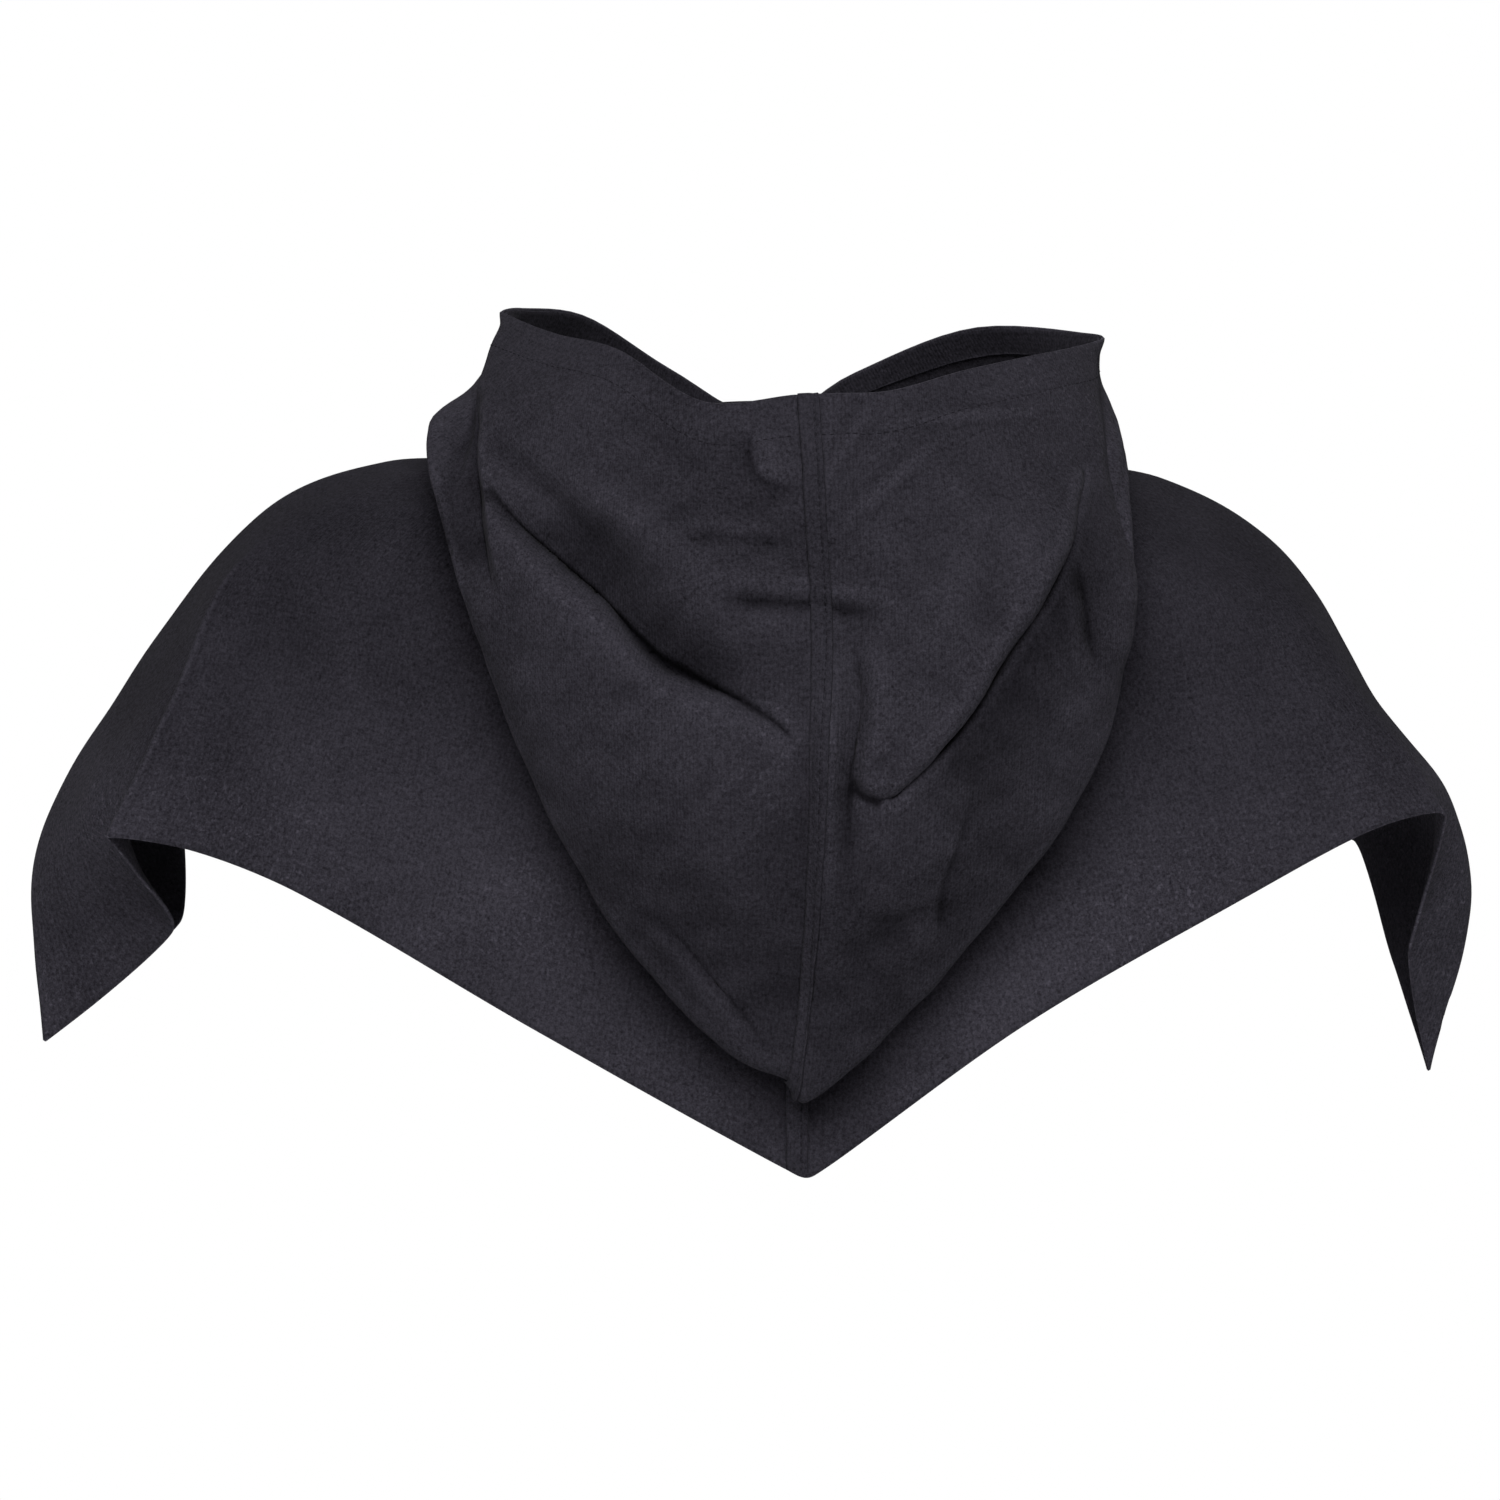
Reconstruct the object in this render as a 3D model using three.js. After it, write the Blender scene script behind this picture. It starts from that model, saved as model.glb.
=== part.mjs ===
// Canvas hood with a pointed shoulder cape, the hood lowered on the back.
// Millimetres. +X is the wearer's right, +Y the way the wearer faces, +Z up.
// The origin is the centre of the neck opening, where the garment sits on a neck and shoulders.
import * as THREE from "three";

// Cloth and seams
const CLOTH = 1.8; // thickness of one canvas wall
const GAP = 0.3; // clearance between pieces that are sewn face to face
const SEAM_WIDTH = 9; // width of a felled seam band
const SEAM_THICKNESS = 1.2;
const RIM_HEM_DEPTH = 20; // how deep the hem of the face opening is turned in
const RIM_HEM_THICKNESS = 1.2;

// Neck opening, where the hood is sewn to the cape
const NECK_HALF_WIDTH = 114;
const NECK_BACK = 80; // from the origin back to the nape
const NECK_FRONT = 80; // from the origin forward to the throat
const NAPE_RISE = 6; // height of the nape over the neck level
const THROAT_FALL = 20; // depth of the throat under the neck level

// Shoulder cape
const SHOULDER_HALF_WIDTH = 220; // to the bend of the shoulder
const SHOULDER_FALL = 31; // from the neck level to that bend
const SHOULDER_CROWN = 11; // how far the shoulder rounds up between neck and bend
const CAPE_HALF_SPAN = 318; // to the corner over the arm
const CAPE_BACK_DEPTH = 125;
const CAPE_FRONT_DEPTH = 118;
const BACK_LENGTH = 300; // from the neck level to the corner at the back
const ARM_LENGTH = 256; // to the corner over each arm
const FRONT_LENGTH = 288; // to the corner at the front

// Lowered hood
const HOOD_HALF_WIDTH = 142;
const RIM_RISE = 57; // height of the rim's highest point
const RIM_BACK = 142; // from the origin back to the rim
const RIM_FRONT = 88; // from the origin forward to the rim at the throat
const BAG_SWELL = 34; // how far the bag stands out between rim and tip
const BAG_FOLD_RADIUS = 6.5; // of the fold along the bag's lower edge
const BAG_CLEARANCE = 8; // between the cape and the layer that lies on it
const NAPE_STAND = 12; // how far the hood stands up from the neck seam before it folds back
const NAPE_LEAN = 5; // how far it leans out there
const FOLD_DEPTH = 9; // of the deepest folds in the bag
const FOLD_WIDTH = 16; // from such a fold's line to where it has faded

const CLOTH_COLOUR = new THREE.Color(0x2c2a30);

// Cape sections, all the way round: turn -1 is the middle of the front, -0.5 the left arm, 0 the middle of
// the back, 0.5 the right arm and 1 the middle of the front again. soft: 1 where the hem runs smoothly on,
// 0 at a sharp corner. long: the length that the heights are shares of. bend, middle, lower and hem: points
// down the cloth as shares, across of the half width, out of the depth behind or before the neck, down of
// the length.
const capeFront = { soft: 1, long: FRONT_LENGTH, bend: [0, 0.94, 3.4], hem: [0, 1, 1] };
const capeRows = [
  { turn: -1, ...capeFront },
  { turn: -0.86, soft: 1, long: FRONT_LENGTH, bend: [-0.36, 0.9, 2.8], hem: [-0.3, 0.97, 0.8] },
  { turn: -0.75, soft: 1, long: ARM_LENGTH, bend: [-0.74, 0.74, 1.9], hem: [-0.58, 0.88, 0.72] },
  {
    turn: -0.64,
    soft: 0.5,
    long: ARM_LENGTH,
    bend: [-0.92, 0.52, 1.5],
    middle: [-0.77, 0.62, 0.41],
    lower: [-0.8, 0.68, 0.53],
    hem: [-0.81, 0.7, 0.64],
  },
  {
    turn: -0.57,
    soft: 0.5,
    long: ARM_LENGTH,
    bend: [-0.98, 0.28, 1.25],
    middle: [-0.84, 0.34, 0.42],
    lower: [-0.92, 0.42, 0.62],
    hem: [-0.815, 0.33, 0.81],
  },
  {
    turn: -0.5,
    soft: 0,
    long: ARM_LENGTH,
    bend: [-1, 0, 1],
    middle: [-0.892, 0, 0.425],
    lower: [-1, 0.02, 0.69],
    hem: [-0.987, 0, 1],
  },
  {
    turn: -0.43,
    soft: 0.5,
    long: ARM_LENGTH,
    bend: [-1.01, -0.24, 1.25],
    middle: [-0.84, -0.3, 0.42],
    lower: [-0.92, -0.36, 0.62],
    hem: [-0.81, -0.3, 0.805],
  },
  {
    turn: -0.36,
    soft: 0.35,
    long: ARM_LENGTH,
    bend: [-1.01, -0.44, 1.5],
    middle: [-0.792, -0.54, 0.41],
    lower: [-0.838, -0.59, 0.53],
    hem: [-0.88, -0.63, 0.64],
  },
  { turn: -0.31, soft: 0.8, long: ARM_LENGTH, bend: [-0.94, -0.52, 1.5], hem: [-0.775, -0.71, 0.655] },
  { turn: -0.25, soft: 1, long: BACK_LENGTH, bend: [-0.74, -0.72, 1.6], hem: [-0.63, -0.82, 0.615] },
  { turn: -0.14, soft: 1, long: BACK_LENGTH, bend: [-0.3, -0.9, 2.2], hem: [-0.32, -0.96, 0.8] },
  { turn: 0, soft: 0.6, long: BACK_LENGTH, bend: [0.02, -0.93, 2.4], hem: [0.013, -1, 0.995] },
  { turn: 0.03, soft: 0.6, long: BACK_LENGTH, bend: [0.08, -0.93, 2.4], hem: [0.05, -1, 1.003] },
  { turn: 0.14, soft: 1, long: BACK_LENGTH, bend: [0.32, -0.9, 2.2], hem: [0.325, -0.96, 0.795] },
  { turn: 0.25, soft: 1, long: BACK_LENGTH, bend: [0.72, -0.72, 1.8], hem: [0.62, -0.82, 0.62] },
  { turn: 0.31, soft: 1, long: ARM_LENGTH, bend: [0.88, -0.56, 1.9], hem: [0.793, -0.7, 0.618] },
  {
    turn: 0.37,
    soft: 0.4,
    long: ARM_LENGTH,
    bend: [0.97, -0.4, 1.9],
    middle: [0.76, -0.48, 0.4],
    lower: [0.845, -0.5, 0.52],
    hem: [0.89, -0.5, 0.605],
  },
  {
    turn: 0.44,
    soft: 0.6,
    long: ARM_LENGTH,
    bend: [0.985, -0.2, 1.6],
    middle: [0.79, -0.22, 0.41],
    lower: [0.905, -0.26, 0.62],
    hem: [0.852, -0.16, 0.845],
  },
  {
    turn: 0.5,
    soft: 0,
    long: ARM_LENGTH,
    bend: [0.985, 0, 1.45],
    middle: [0.8, 0, 0.41],
    lower: [0.932, -0.06, 0.73],
    hem: [0.885, 0, 1.05],
  },
  {
    turn: 0.57,
    soft: 0.6,
    long: ARM_LENGTH,
    bend: [0.96, 0.24, 1.5],
    middle: [0.79, 0.28, 0.41],
    lower: [0.88, 0.32, 0.62],
    hem: [0.848, 0.27, 0.88],
  },
  {
    turn: 0.64,
    soft: 0.6,
    long: ARM_LENGTH,
    bend: [0.9, 0.5, 1.7],
    middle: [0.74, 0.58, 0.41],
    lower: [0.78, 0.62, 0.53],
    hem: [0.8, 0.62, 0.68],
  },
  { turn: 0.75, soft: 1, long: ARM_LENGTH, bend: [0.74, 0.74, 1.9], hem: [0.58, 0.88, 0.72] },
  { turn: 0.86, soft: 1, long: FRONT_LENGTH, bend: [0.36, 0.9, 2.8], hem: [0.3, 0.97, 0.8] },
  { turn: 1, ...capeFront },
];

// Hood sections, all the way round in the same turns: 0 is the crown seam and 1 the throat.
// rim: across, back or forward, and up, as shares of the rim's sizes. bag: turn and down on the cape where
// the bag's lower edge lies. neck: turn where the section meets the neck seam. face: which way the cloth
// bulges, in degrees from straight back. swell: bulge above, at and below the middle, as shares of
// BAG_SWELL. slack: 1 where the cloth hangs as a bag, 0 where it stands straight up from the neck.
const STRAIGHT = [0, 0, 0];
const hoodThroat = {
  rim: [-0.02, 1, 0.16],
  bag: [1, 0.1],
  neck: 1,
  face: 180,
  swell: STRAIGHT,
  slack: 0,
};
const hoodRows = [
  { turn: -1, ...hoodThroat },
  { turn: -0.87, rim: [-0.32, 0.76, 0.55], bag: [-0.84, 0.1], neck: -0.82,
    face: 200, swell: STRAIGHT, slack: 0 },
  { turn: -0.74, rim: [-0.58, 0.35, 0.96], bag: [-0.6, 0.1], neck: -0.6,
    face: 240, swell: STRAIGHT, slack: 0.1 },
  { turn: -0.62, rim: [-0.77, -0.06, 1.02], bag: [-0.42, 0.08], neck: -0.44,
    face: 262, swell: [-0.1, -0.25, -0.2], slack: 0.5 },
  { turn: -0.53, rim: [-0.835, -0.2, 1], bag: [-0.27, 0.13], neck: -0.33,
    face: -65, swell: [-0.15, -0.35, -0.3], slack: 1 },
  { turn: -0.45, rim: [-0.79, -0.32, 0.95], bag: [-0.215, 0.28], neck: -0.26,
    face: -45, swell: [0.1, 0.25, 0.25], slack: 1 },
  { turn: -0.34, rim: [-0.65, -0.53, 0.83], bag: [-0.175, 0.53], neck: -0.23,
    face: -20, swell: [0.35, 0.75, 0.6], slack: 1 },
  { turn: -0.22, rim: [-0.46, -0.72, 0.71], bag: [-0.12, 0.75], neck: -0.15,
    face: -8, swell: [0.5, 1, 0.75], slack: 1 },
  { turn: -0.1, rim: [-0.21, -0.92, 0.34], bag: [-0.05, 0.87], neck: -0.07,
    face: 2, swell: [0.4, 1, 0.8], slack: 1 },
  { turn: 0, rim: [0.06, -0.9, 0.39], bag: [0.003, 0.873], neck: 0,
    face: 12, swell: [0.4, 1, 0.75], slack: 1 },
  { turn: 0.06, rim: [0.17, -0.92, 0.4], bag: [0.02, 0.895], neck: 0.05,
    face: 8, swell: [0.4, 1, 0.75], slack: 1 },
  { turn: 0.15, rim: [0.33, -0.95, 0.42], bag: [0.07, 0.88], neck: 0.11,
    face: 8, swell: [0.4, 1, 0.75], slack: 1 },
  { turn: 0.26, rim: [0.54, -0.83, 0.56], bag: [0.128, 0.8], neck: 0.18,
    face: 12, swell: [0.4, 0.9, 0.75], slack: 1 },
  { turn: 0.36, rim: [0.73, -0.67, 0.66], bag: [0.175, 0.69], neck: 0.25,
    face: 22, swell: [0.35, 0.8, 0.7], slack: 1 },
  { turn: 0.45, rim: [0.88, -0.46, 0.73], bag: [0.21, 0.5], neck: 0.26,
    face: 35, swell: [0.2, 0.5, 0.5], slack: 1 },
  { turn: 0.53, rim: [0.98, -0.25, 0.79], bag: [0.235, 0.24], neck: 0.31,
    face: 60, swell: [-0.1, -0.1, 0.1], slack: 1 },
  { turn: 0.61, rim: [0.95, -0.1, 0.83], bag: [0.38, 0.08], neck: 0.42,
    face: 85, swell: [-0.1, -0.1, 0], slack: 0.6 },
  { turn: 0.74, rim: [0.6, 0.35, 0.87], bag: [0.6, 0.1], neck: 0.6,
    face: 120, swell: STRAIGHT, slack: 0.1 },
  { turn: 0.87, rim: [0.24, 0.76, 0.52], bag: [0.84, 0.1], neck: 0.82,
    face: 160, swell: STRAIGHT, slack: 0 },
  { turn: 1, ...hoodThroat },
];

// Folds and dents of the bag, seen from behind. line: points across and up, as shares of the hood's half
// width and of the cape's back length. width: share of FOLD_WIDTH. step: how far the cloth under the line
// stands out over the cloth above it, and dip: how deep the line itself lies, as shares of FOLD_DEPTH.
const hoodFolds = [
  { line: [[-0.88, -0.045], [-0.63, -0.165], [-0.37, -0.27], [-0.12, -0.34], [0, -0.37]],
    width: 1, step: 0.75, dip: 0.35 },
  { line: [[-0.62, -0.08], [-0.38, -0.19]],
    width: 1.1, step: 0, dip: 0.7 },
  { line: [[0.96, -0.01], [0.84, -0.15], [0.57, -0.32], [0.46, -0.42], [0.31, -0.47]],
    width: 1, step: -0.75, dip: 0.35 },
  { line: [[0.24, -0.26], [0.25, -0.44], [0.21, -0.58]],
    width: 0.5, step: 0, dip: 0.35 },
  { line: [[0.24, -0.58], [0.11, -0.71]],
    width: 0.6, step: 0.3, dip: 0.2 },
  { line: [[-0.31, -0.7], [-0.06, -0.83]],
    width: 0.6, step: 0.3, dip: 0.2 },
  { line: [[-0.42, -0.46], [-0.08, -0.46]],
    width: 1.2, step: 0, dip: 0.25 },
];

// Where the points of a section lie along it
const CAPE_STOPS = [0, 0.12, 0.3, 0.55, 0.78, 1];
const HOOD_STOPS = [0, 0.08, 0.22, 0.38, 0.5, 0.53, 0.56, 0.68, 0.79, 0.89, 0.95, 1];

// Shares of the way between two known points of a section at which its other points lie
const CAPE_SHOULDER = 0.5; // from the neck to the bend
const CAPE_MIDDLE = 0.36; // from the bend to the hem
const CAPE_LOWER = 0.7; // from the bend to the hem
const OUTER_LAYER = [0.14, 0.42, 0.75]; // from the rim to the bag's lower edge
const UNDER_LAYER = [0.33, 0.6, 0.84]; // from the bag's lower edge to the neck

// Between which downs and turns the folds fade
const FOLD_FADE = { rim: [0.03, 0.12], edge: [0.42, 0.5], side: [0.45, 0.55] };

const along = (a, b, share) => a.clone().lerp(b, share);

// A smooth curve through points at given stops. A soft value under 1 tightens it towards a corner there.
// A closed curve runs on from its last point, which is its first one again.
function curveThrough(stops, points, soft, closed) {
  const last = points.length - 1;
  const slopes = points.map((point, i) => {
    const atEnd = i === 0 || i === last;
    if (atEnd && closed) {
      const slope = points[1].clone().sub(points[last - 1]);
      return slope.multiplyScalar(soft[i] / (stops[1] - stops[0] + stops[last] - stops[last - 1]));
    }
    const before = Math.max(i - 1, 0);
    const after = Math.min(i + 1, last);
    const slope = points[after].clone().sub(points[before]);
    return slope.multiplyScalar(soft[i] / (stops[after] - stops[before]));
  });
  return (at) => {
    let i = 0;
    while (i < last - 1 && at > stops[i + 1]) i += 1;
    const span = stops[i + 1] - stops[i];
    const u = (at - stops[i]) / span;
    const u2 = u * u;
    const u3 = u2 * u;
    return new THREE.Vector3()
      .addScaledVector(points[i], 2 * u3 - 3 * u2 + 1)
      .addScaledVector(slopes[i], span * (u3 - 2 * u2 + u))
      .addScaledVector(points[i + 1], 3 * u2 - 2 * u3)
      .addScaledVector(slopes[i + 1], span * (u3 - u2));
  };
}

// A closed surface through rows of sections: at(turn, down) is a point of it.
function surfaceThrough(rows, sections, stops) {
  const turns = rows.map((row) => row.turn);
  const softRound = rows.map((row) => row.soft ?? 1);
  const softDown = stops.map(() => 1);
  const lines = stops.map((_, k) => {
    const points = sections.map((section) => section[k]);
    return curveThrough(turns, points, softRound, true);
  });
  return (turn, down) => {
    const points = lines.map((line) => line(turn));
    return curveThrough(stops, points, softDown, false)(down);
  };
}

// The way that a surface faces, outward from the neck or from the bag's inside.
function facing(surface, turn, down) {
  const step = 0.004;
  const t0 = Math.max(turn - step, -1);
  const t1 = Math.min(turn + step, 1);
  const d0 = Math.max(down - step, 0);
  const d1 = Math.min(down + step, 1);
  const across = surface(t1, down).sub(surface(t0, down));
  const downward = surface(turn, d1).sub(surface(turn, d0));
  return downward.cross(across).normalize();
}

// Neck seam: turn 0 is the nape, -1 and 1 the throat.
function neckPoint(turn, lift) {
  const angle = turn * Math.PI;
  const depth = Math.abs(turn) < 0.5 ? NECK_BACK : NECK_FRONT;
  const level = (NAPE_RISE - THROAT_FALL) / 2;
  const swing = (NAPE_RISE + THROAT_FALL) / 2;
  return new THREE.Vector3(
    Math.sin(angle) * NECK_HALF_WIDTH,
    -Math.cos(angle) * depth,
    level + Math.cos(angle) * swing + lift,
  );
}

function capePoint(share, halfWidth, length) {
  const depth = share[1] < 0 ? CAPE_BACK_DEPTH : CAPE_FRONT_DEPTH;
  return new THREE.Vector3(share[0] * halfWidth, share[1] * depth, -share[2] * length);
}

function capeSection(row) {
  const neck = neckPoint(row.turn, -GAP / 2);
  const bend = capePoint(row.bend, SHOULDER_HALF_WIDTH, SHOULDER_FALL);
  const hem = capePoint(row.hem, CAPE_HALF_SPAN, row.long);
  const shoulder = along(neck, bend, CAPE_SHOULDER).add(new THREE.Vector3(0, 0, SHOULDER_CROWN));
  const fromTable = (share, between) =>
    share ? capePoint(share, CAPE_HALF_SPAN, row.long) : along(bend, hem, between);
  const middle = fromTable(row.middle, CAPE_MIDDLE);
  const lower = fromTable(row.lower, CAPE_LOWER);
  return [neck, shoulder, bend, middle, lower, hem];
}

const cape = surfaceThrough(capeRows, capeRows.map(capeSection), CAPE_STOPS);

// A point held at a clearance off the cape's outside.
function overCape(turn, down, clearance) {
  return cape(turn, down).addScaledVector(facing(cape, turn, down), clearance);
}

function hoodSection(row) {
  const rimDepth = row.rim[1] < 0 ? RIM_BACK : RIM_FRONT;
  const rim = new THREE.Vector3(row.rim[0] * HOOD_HALF_WIDTH, row.rim[1] * rimDepth, row.rim[2] * RIM_RISE);
  const neck = neckPoint(row.neck, GAP / 2);
  const face = THREE.MathUtils.degToRad(row.face);
  const outward = new THREE.Vector3(Math.sin(face), -Math.cos(face), 0);
  const up = new THREE.Vector3(0, 0, 1);
  const [bagTurn, bagDown] = row.bag;
  const clearance = BAG_CLEARANCE * row.slack;
  const underLayer = (share) =>
    overCape(bagTurn + (row.neck - bagTurn) * share, bagDown * (1 - share), clearance);
  const edge = overCape(bagTurn, bagDown, clearance + BAG_FOLD_RADIUS);
  const lift = up.clone().multiplyScalar(BAG_FOLD_RADIUS);
  const outer = edge.clone().add(lift).addScaledVector(outward, BAG_FOLD_RADIUS);
  const inner = edge.clone().add(lift).addScaledVector(outward, -BAG_FOLD_RADIUS);
  const outerLayer = (share, swell) => along(rim, outer, share).addScaledVector(outward, swell * BAG_SWELL);
  const nape = neck.clone().addScaledVector(up, NAPE_STAND).addScaledVector(outward, NAPE_LEAN);
  const bag = [
    rim,
    ...OUTER_LAYER.map((share, k) => outerLayer(share, row.swell[k])),
    outer,
    edge,
    inner,
    ...UNDER_LAYER.map(underLayer),
    nape,
    neck,
  ];
  return bag.map((point, k) => along(along(rim, neck, HOOD_STOPS[k]), point, row.slack));
}

const hoodForm = surfaceThrough(hoodRows, hoodRows.map(hoodSection), HOOD_STOPS);

// How far a fold stands out of the bag at a point of it, seen from behind.
function foldRelief({ line, width, step, dip }, point) {
  let nearest = Infinity;
  let below = 1;
  for (let k = 0; k < line.length - 1; k += 1) {
    const [x0, z0] = [line[k][0] * HOOD_HALF_WIDTH, line[k][1] * BACK_LENGTH];
    const [dx, dz] = [line[k + 1][0] * HOOD_HALF_WIDTH - x0, line[k + 1][1] * BACK_LENGTH - z0];
    const share = ((point.x - x0) * dx + (point.z - z0) * dz) / (dx * dx + dz * dz);
    const held = THREE.MathUtils.clamp(share, 0, 1);
    const [px, pz] = [point.x - x0 - held * dx, point.z - z0 - held * dz];
    const distance = Math.hypot(px, pz);
    if (distance < nearest) {
      nearest = distance;
      below = pz < 0 ? 1 : -1;
    }
  }
  const u = nearest / (width * FOLD_WIDTH);
  const bell = Math.exp(-u * u);
  return FOLD_DEPTH * bell * (step * below * Math.min(2 * u, 1) - dip);
}

const rise = (value, [low, high]) => THREE.MathUtils.smoothstep(value, low, high);

// The hood with its folds, which fade out at the rim and at the bag's lower edge.
function hood(turn, down) {
  const point = hoodForm(turn, down);
  const atSide = 1 - rise(Math.abs(turn), FOLD_FADE.side);
  const fade = rise(down, FOLD_FADE.rim) * (1 - rise(down, FOLD_FADE.edge)) * atSide;
  if (fade === 0) return point;
  const relief = hoodFolds.reduce((sum, fold) => sum + foldRelief(fold, point), 0);
  return point.setY(point.y - fade * relief);
}

// A closed wall over a grid of middle points: each point is moved half the thickness out and half in
// along its own direction, and the four sides are closed.
function wall(grid, directions, thickness) {
  const rows = grid.length;
  const columns = grid[0].length;
  const positions = [];
  for (const sign of [0.5, -0.5]) {
    grid.forEach((line, i) =>
      line.forEach((point, j) => {
        const moved = point.clone().addScaledVector(directions[i][j], sign * thickness);
        positions.push(moved.x, moved.y, moved.z);
      }),
    );
  }
  const index = [];
  const outer = (i, j) => i * columns + j;
  const inner = (i, j) => rows * columns + i * columns + j;
  const quad = (a, b, c, d) => index.push(a, b, c, a, c, d);
  for (let i = 0; i < rows - 1; i += 1) {
    for (let j = 0; j < columns - 1; j += 1) {
      quad(outer(i, j), outer(i + 1, j), outer(i + 1, j + 1), outer(i, j + 1));
      quad(inner(i, j), inner(i, j + 1), inner(i + 1, j + 1), inner(i + 1, j));
    }
  }
  for (let i = 0; i < rows - 1; i += 1) {
    quad(outer(i, 0), inner(i, 0), inner(i + 1, 0), outer(i + 1, 0));
    quad(outer(i, columns - 1), outer(i + 1, columns - 1), inner(i + 1, columns - 1), inner(i, columns - 1));
  }
  for (let j = 0; j < columns - 1; j += 1) {
    quad(outer(0, j), outer(0, j + 1), inner(0, j + 1), inner(0, j));
    quad(outer(rows - 1, j), inner(rows - 1, j), inner(rows - 1, j + 1), outer(rows - 1, j + 1));
  }
  const geometry = new THREE.BufferGeometry();
  geometry.setAttribute("position", new THREE.Float32BufferAttribute(positions, 3));
  geometry.setIndex(index);
  return facingOut(geometry);
}

// Turns a closed geometry's faces round if they point inwards.
function facingOut(geometry) {
  const position = geometry.getAttribute("position");
  const index = geometry.getIndex().array;
  const corner = (k) => new THREE.Vector3().fromBufferAttribute(position, index[k]);
  let volume = 0;
  for (let k = 0; k < index.length; k += 3) volume += corner(k).dot(corner(k + 1).cross(corner(k + 2)));
  if (volume < 0) {
    for (let k = 0; k < index.length; k += 3) [index[k], index[k + 1]] = [index[k + 1], index[k]];
  }
  geometry.computeVertexNormals();
  return geometry;
}

// Shares along a surface with a number of steps between each two stops.
function stepsBetween(stops, counts) {
  const out = [stops[0]];
  counts.forEach((count, i) => {
    for (let k = 1; k <= count; k += 1) out.push(stops[i] + ((stops[i + 1] - stops[i]) * k) / count);
  });
  return out;
}

// The share at which a walk along a surface has covered a length.
function shareAtLength(walk, length) {
  const step = 0.005;
  let share = 0;
  let covered = 0;
  let last = walk(0);
  while (share < 1) {
    const next = walk(share + step);
    const stretch = next.distanceTo(last);
    if (covered + stretch >= length) return share + (step * (length - covered)) / stretch;
    covered += stretch;
    share += step;
    last = next;
  }
  return 1;
}

const LEFT = -1;
const RIGHT = 1;

// The points of one half of a surface, from the middle of the back to the middle of the front, and the way
// each faces. The first strip is as wide as the seam band. An edge on a middle seam stands half a gap off
// it, and the edge on the neck seam is level, so that the pieces meet face to face.
function halfOf({ surface, neckDown, turns, downsAt }, side) {
  const points = [];
  const directions = [];
  turns.forEach((turn, i) => {
    const onSeam = i === 0 || i === turns.length - 1;
    const line = [];
    const ways = [];
    downsAt(side * turn).forEach((down) => {
      const reach = i === 1 ? shareAtLength((share) => surface(side * share, down), SEAM_WIDTH) : turn;
      const point = surface(side * reach, down);
      const way = facing(surface, side * reach, down);
      if (onSeam) point.setX(point.x + (side * GAP) / 2);
      if (onSeam) way.setX(0).normalize();
      if (down === neckDown) way.setZ(0).normalize();
      line.push(point);
      ways.push(way);
    });
    points.push(line);
    directions.push(ways);
  });
  return { points, directions };
}

// The turns and downs that the cloth is stepped at.
const CAPE_TURNS = stepsBetween(
  [0, 0.04, 0.14, 0.25, 0.31, 0.37, 0.44, 0.5, 0.57, 0.64, 0.75, 0.86, 1],
  [1, 2, 2, 2, 2, 3, 3, 3, 2, 2, 2, 2],
);
const CAPE_DOWNS = stepsBetween(CAPE_STOPS, [2, 2, 3, 3, 3]);
const HOOD_TURNS = stepsBetween(
  [0, 0.045, 0.15, 0.26, 0.36, 0.45, 0.53, 0.61, 0.74, 0.87, 1],
  [1, 2, 3, 3, 3, 3, 3, 3, 2, 2],
);
const RIM_HEM_STEPS = 3;
const RIM_HEM_DOWN = 0.08;
const HOOD_DOWNS = [
  ...stepsBetween([0, RIM_HEM_DOWN], [RIM_HEM_STEPS]),
  ...stepsBetween(HOOD_STOPS.slice(1), [2, 3, 3, 1, 1, 3, 2, 2, 3, 3]).slice(1),
];

const SETTLED_DOWN = 0.42; // where the steps under the hem are back at their own downs
const LONG_HEM_DOWN = 0.15; // a hem that reaches further down than this, as on the short sides,
const SETTLED_LATER = 1.45; // moves that down on by so much of the rest

// The hood's downs at a turn, with the lower edge of the rim's hem at its depth.
function hoodDownsAt(turn) {
  const hem = shareAtLength((down) => hood(turn, down), RIM_HEM_DEPTH);
  const later = Math.max(hem - LONG_HEM_DOWN, 0) * SETTLED_LATER;
  const settled = Math.min(SETTLED_DOWN + later, 1);
  return HOOD_DOWNS.map((down) => {
    if (down >= settled) return down;
    if (down <= RIM_HEM_DOWN) return (hem * down) / RIM_HEM_DOWN;
    return hem + ((down - RIM_HEM_DOWN) * (settled - hem)) / (settled - RIM_HEM_DOWN);
  });
}

const capeCloth = { surface: cape, neckDown: 0, turns: CAPE_TURNS, downsAt: () => CAPE_DOWNS };
const hoodCloth = { surface: hood, neckDown: 1, turns: HOOD_TURNS, downsAt: hoodDownsAt };
const capeLeft = halfOf(capeCloth, LEFT);
const capeRight = halfOf(capeCloth, RIGHT);
const hoodLeft = halfOf(hoodCloth, LEFT);
const hoodRight = halfOf(hoodCloth, RIGHT);

// A wall of cloth over a half.
const cloth = ({ points, directions }) => wall(points, directions, CLOTH);

// A thin layer sewn on part of a half: outside it where way is 1, inside it where way is -1.
function layer({ points, directions }, way, thickness) {
  const offset = way * (CLOTH / 2 + GAP + thickness / 2);
  const moved = points.map((line, i) =>
    line.map((point, j) => point.clone().addScaledVector(directions[i][j], offset)),
  );
  return wall(moved, directions, thickness);
}

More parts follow.
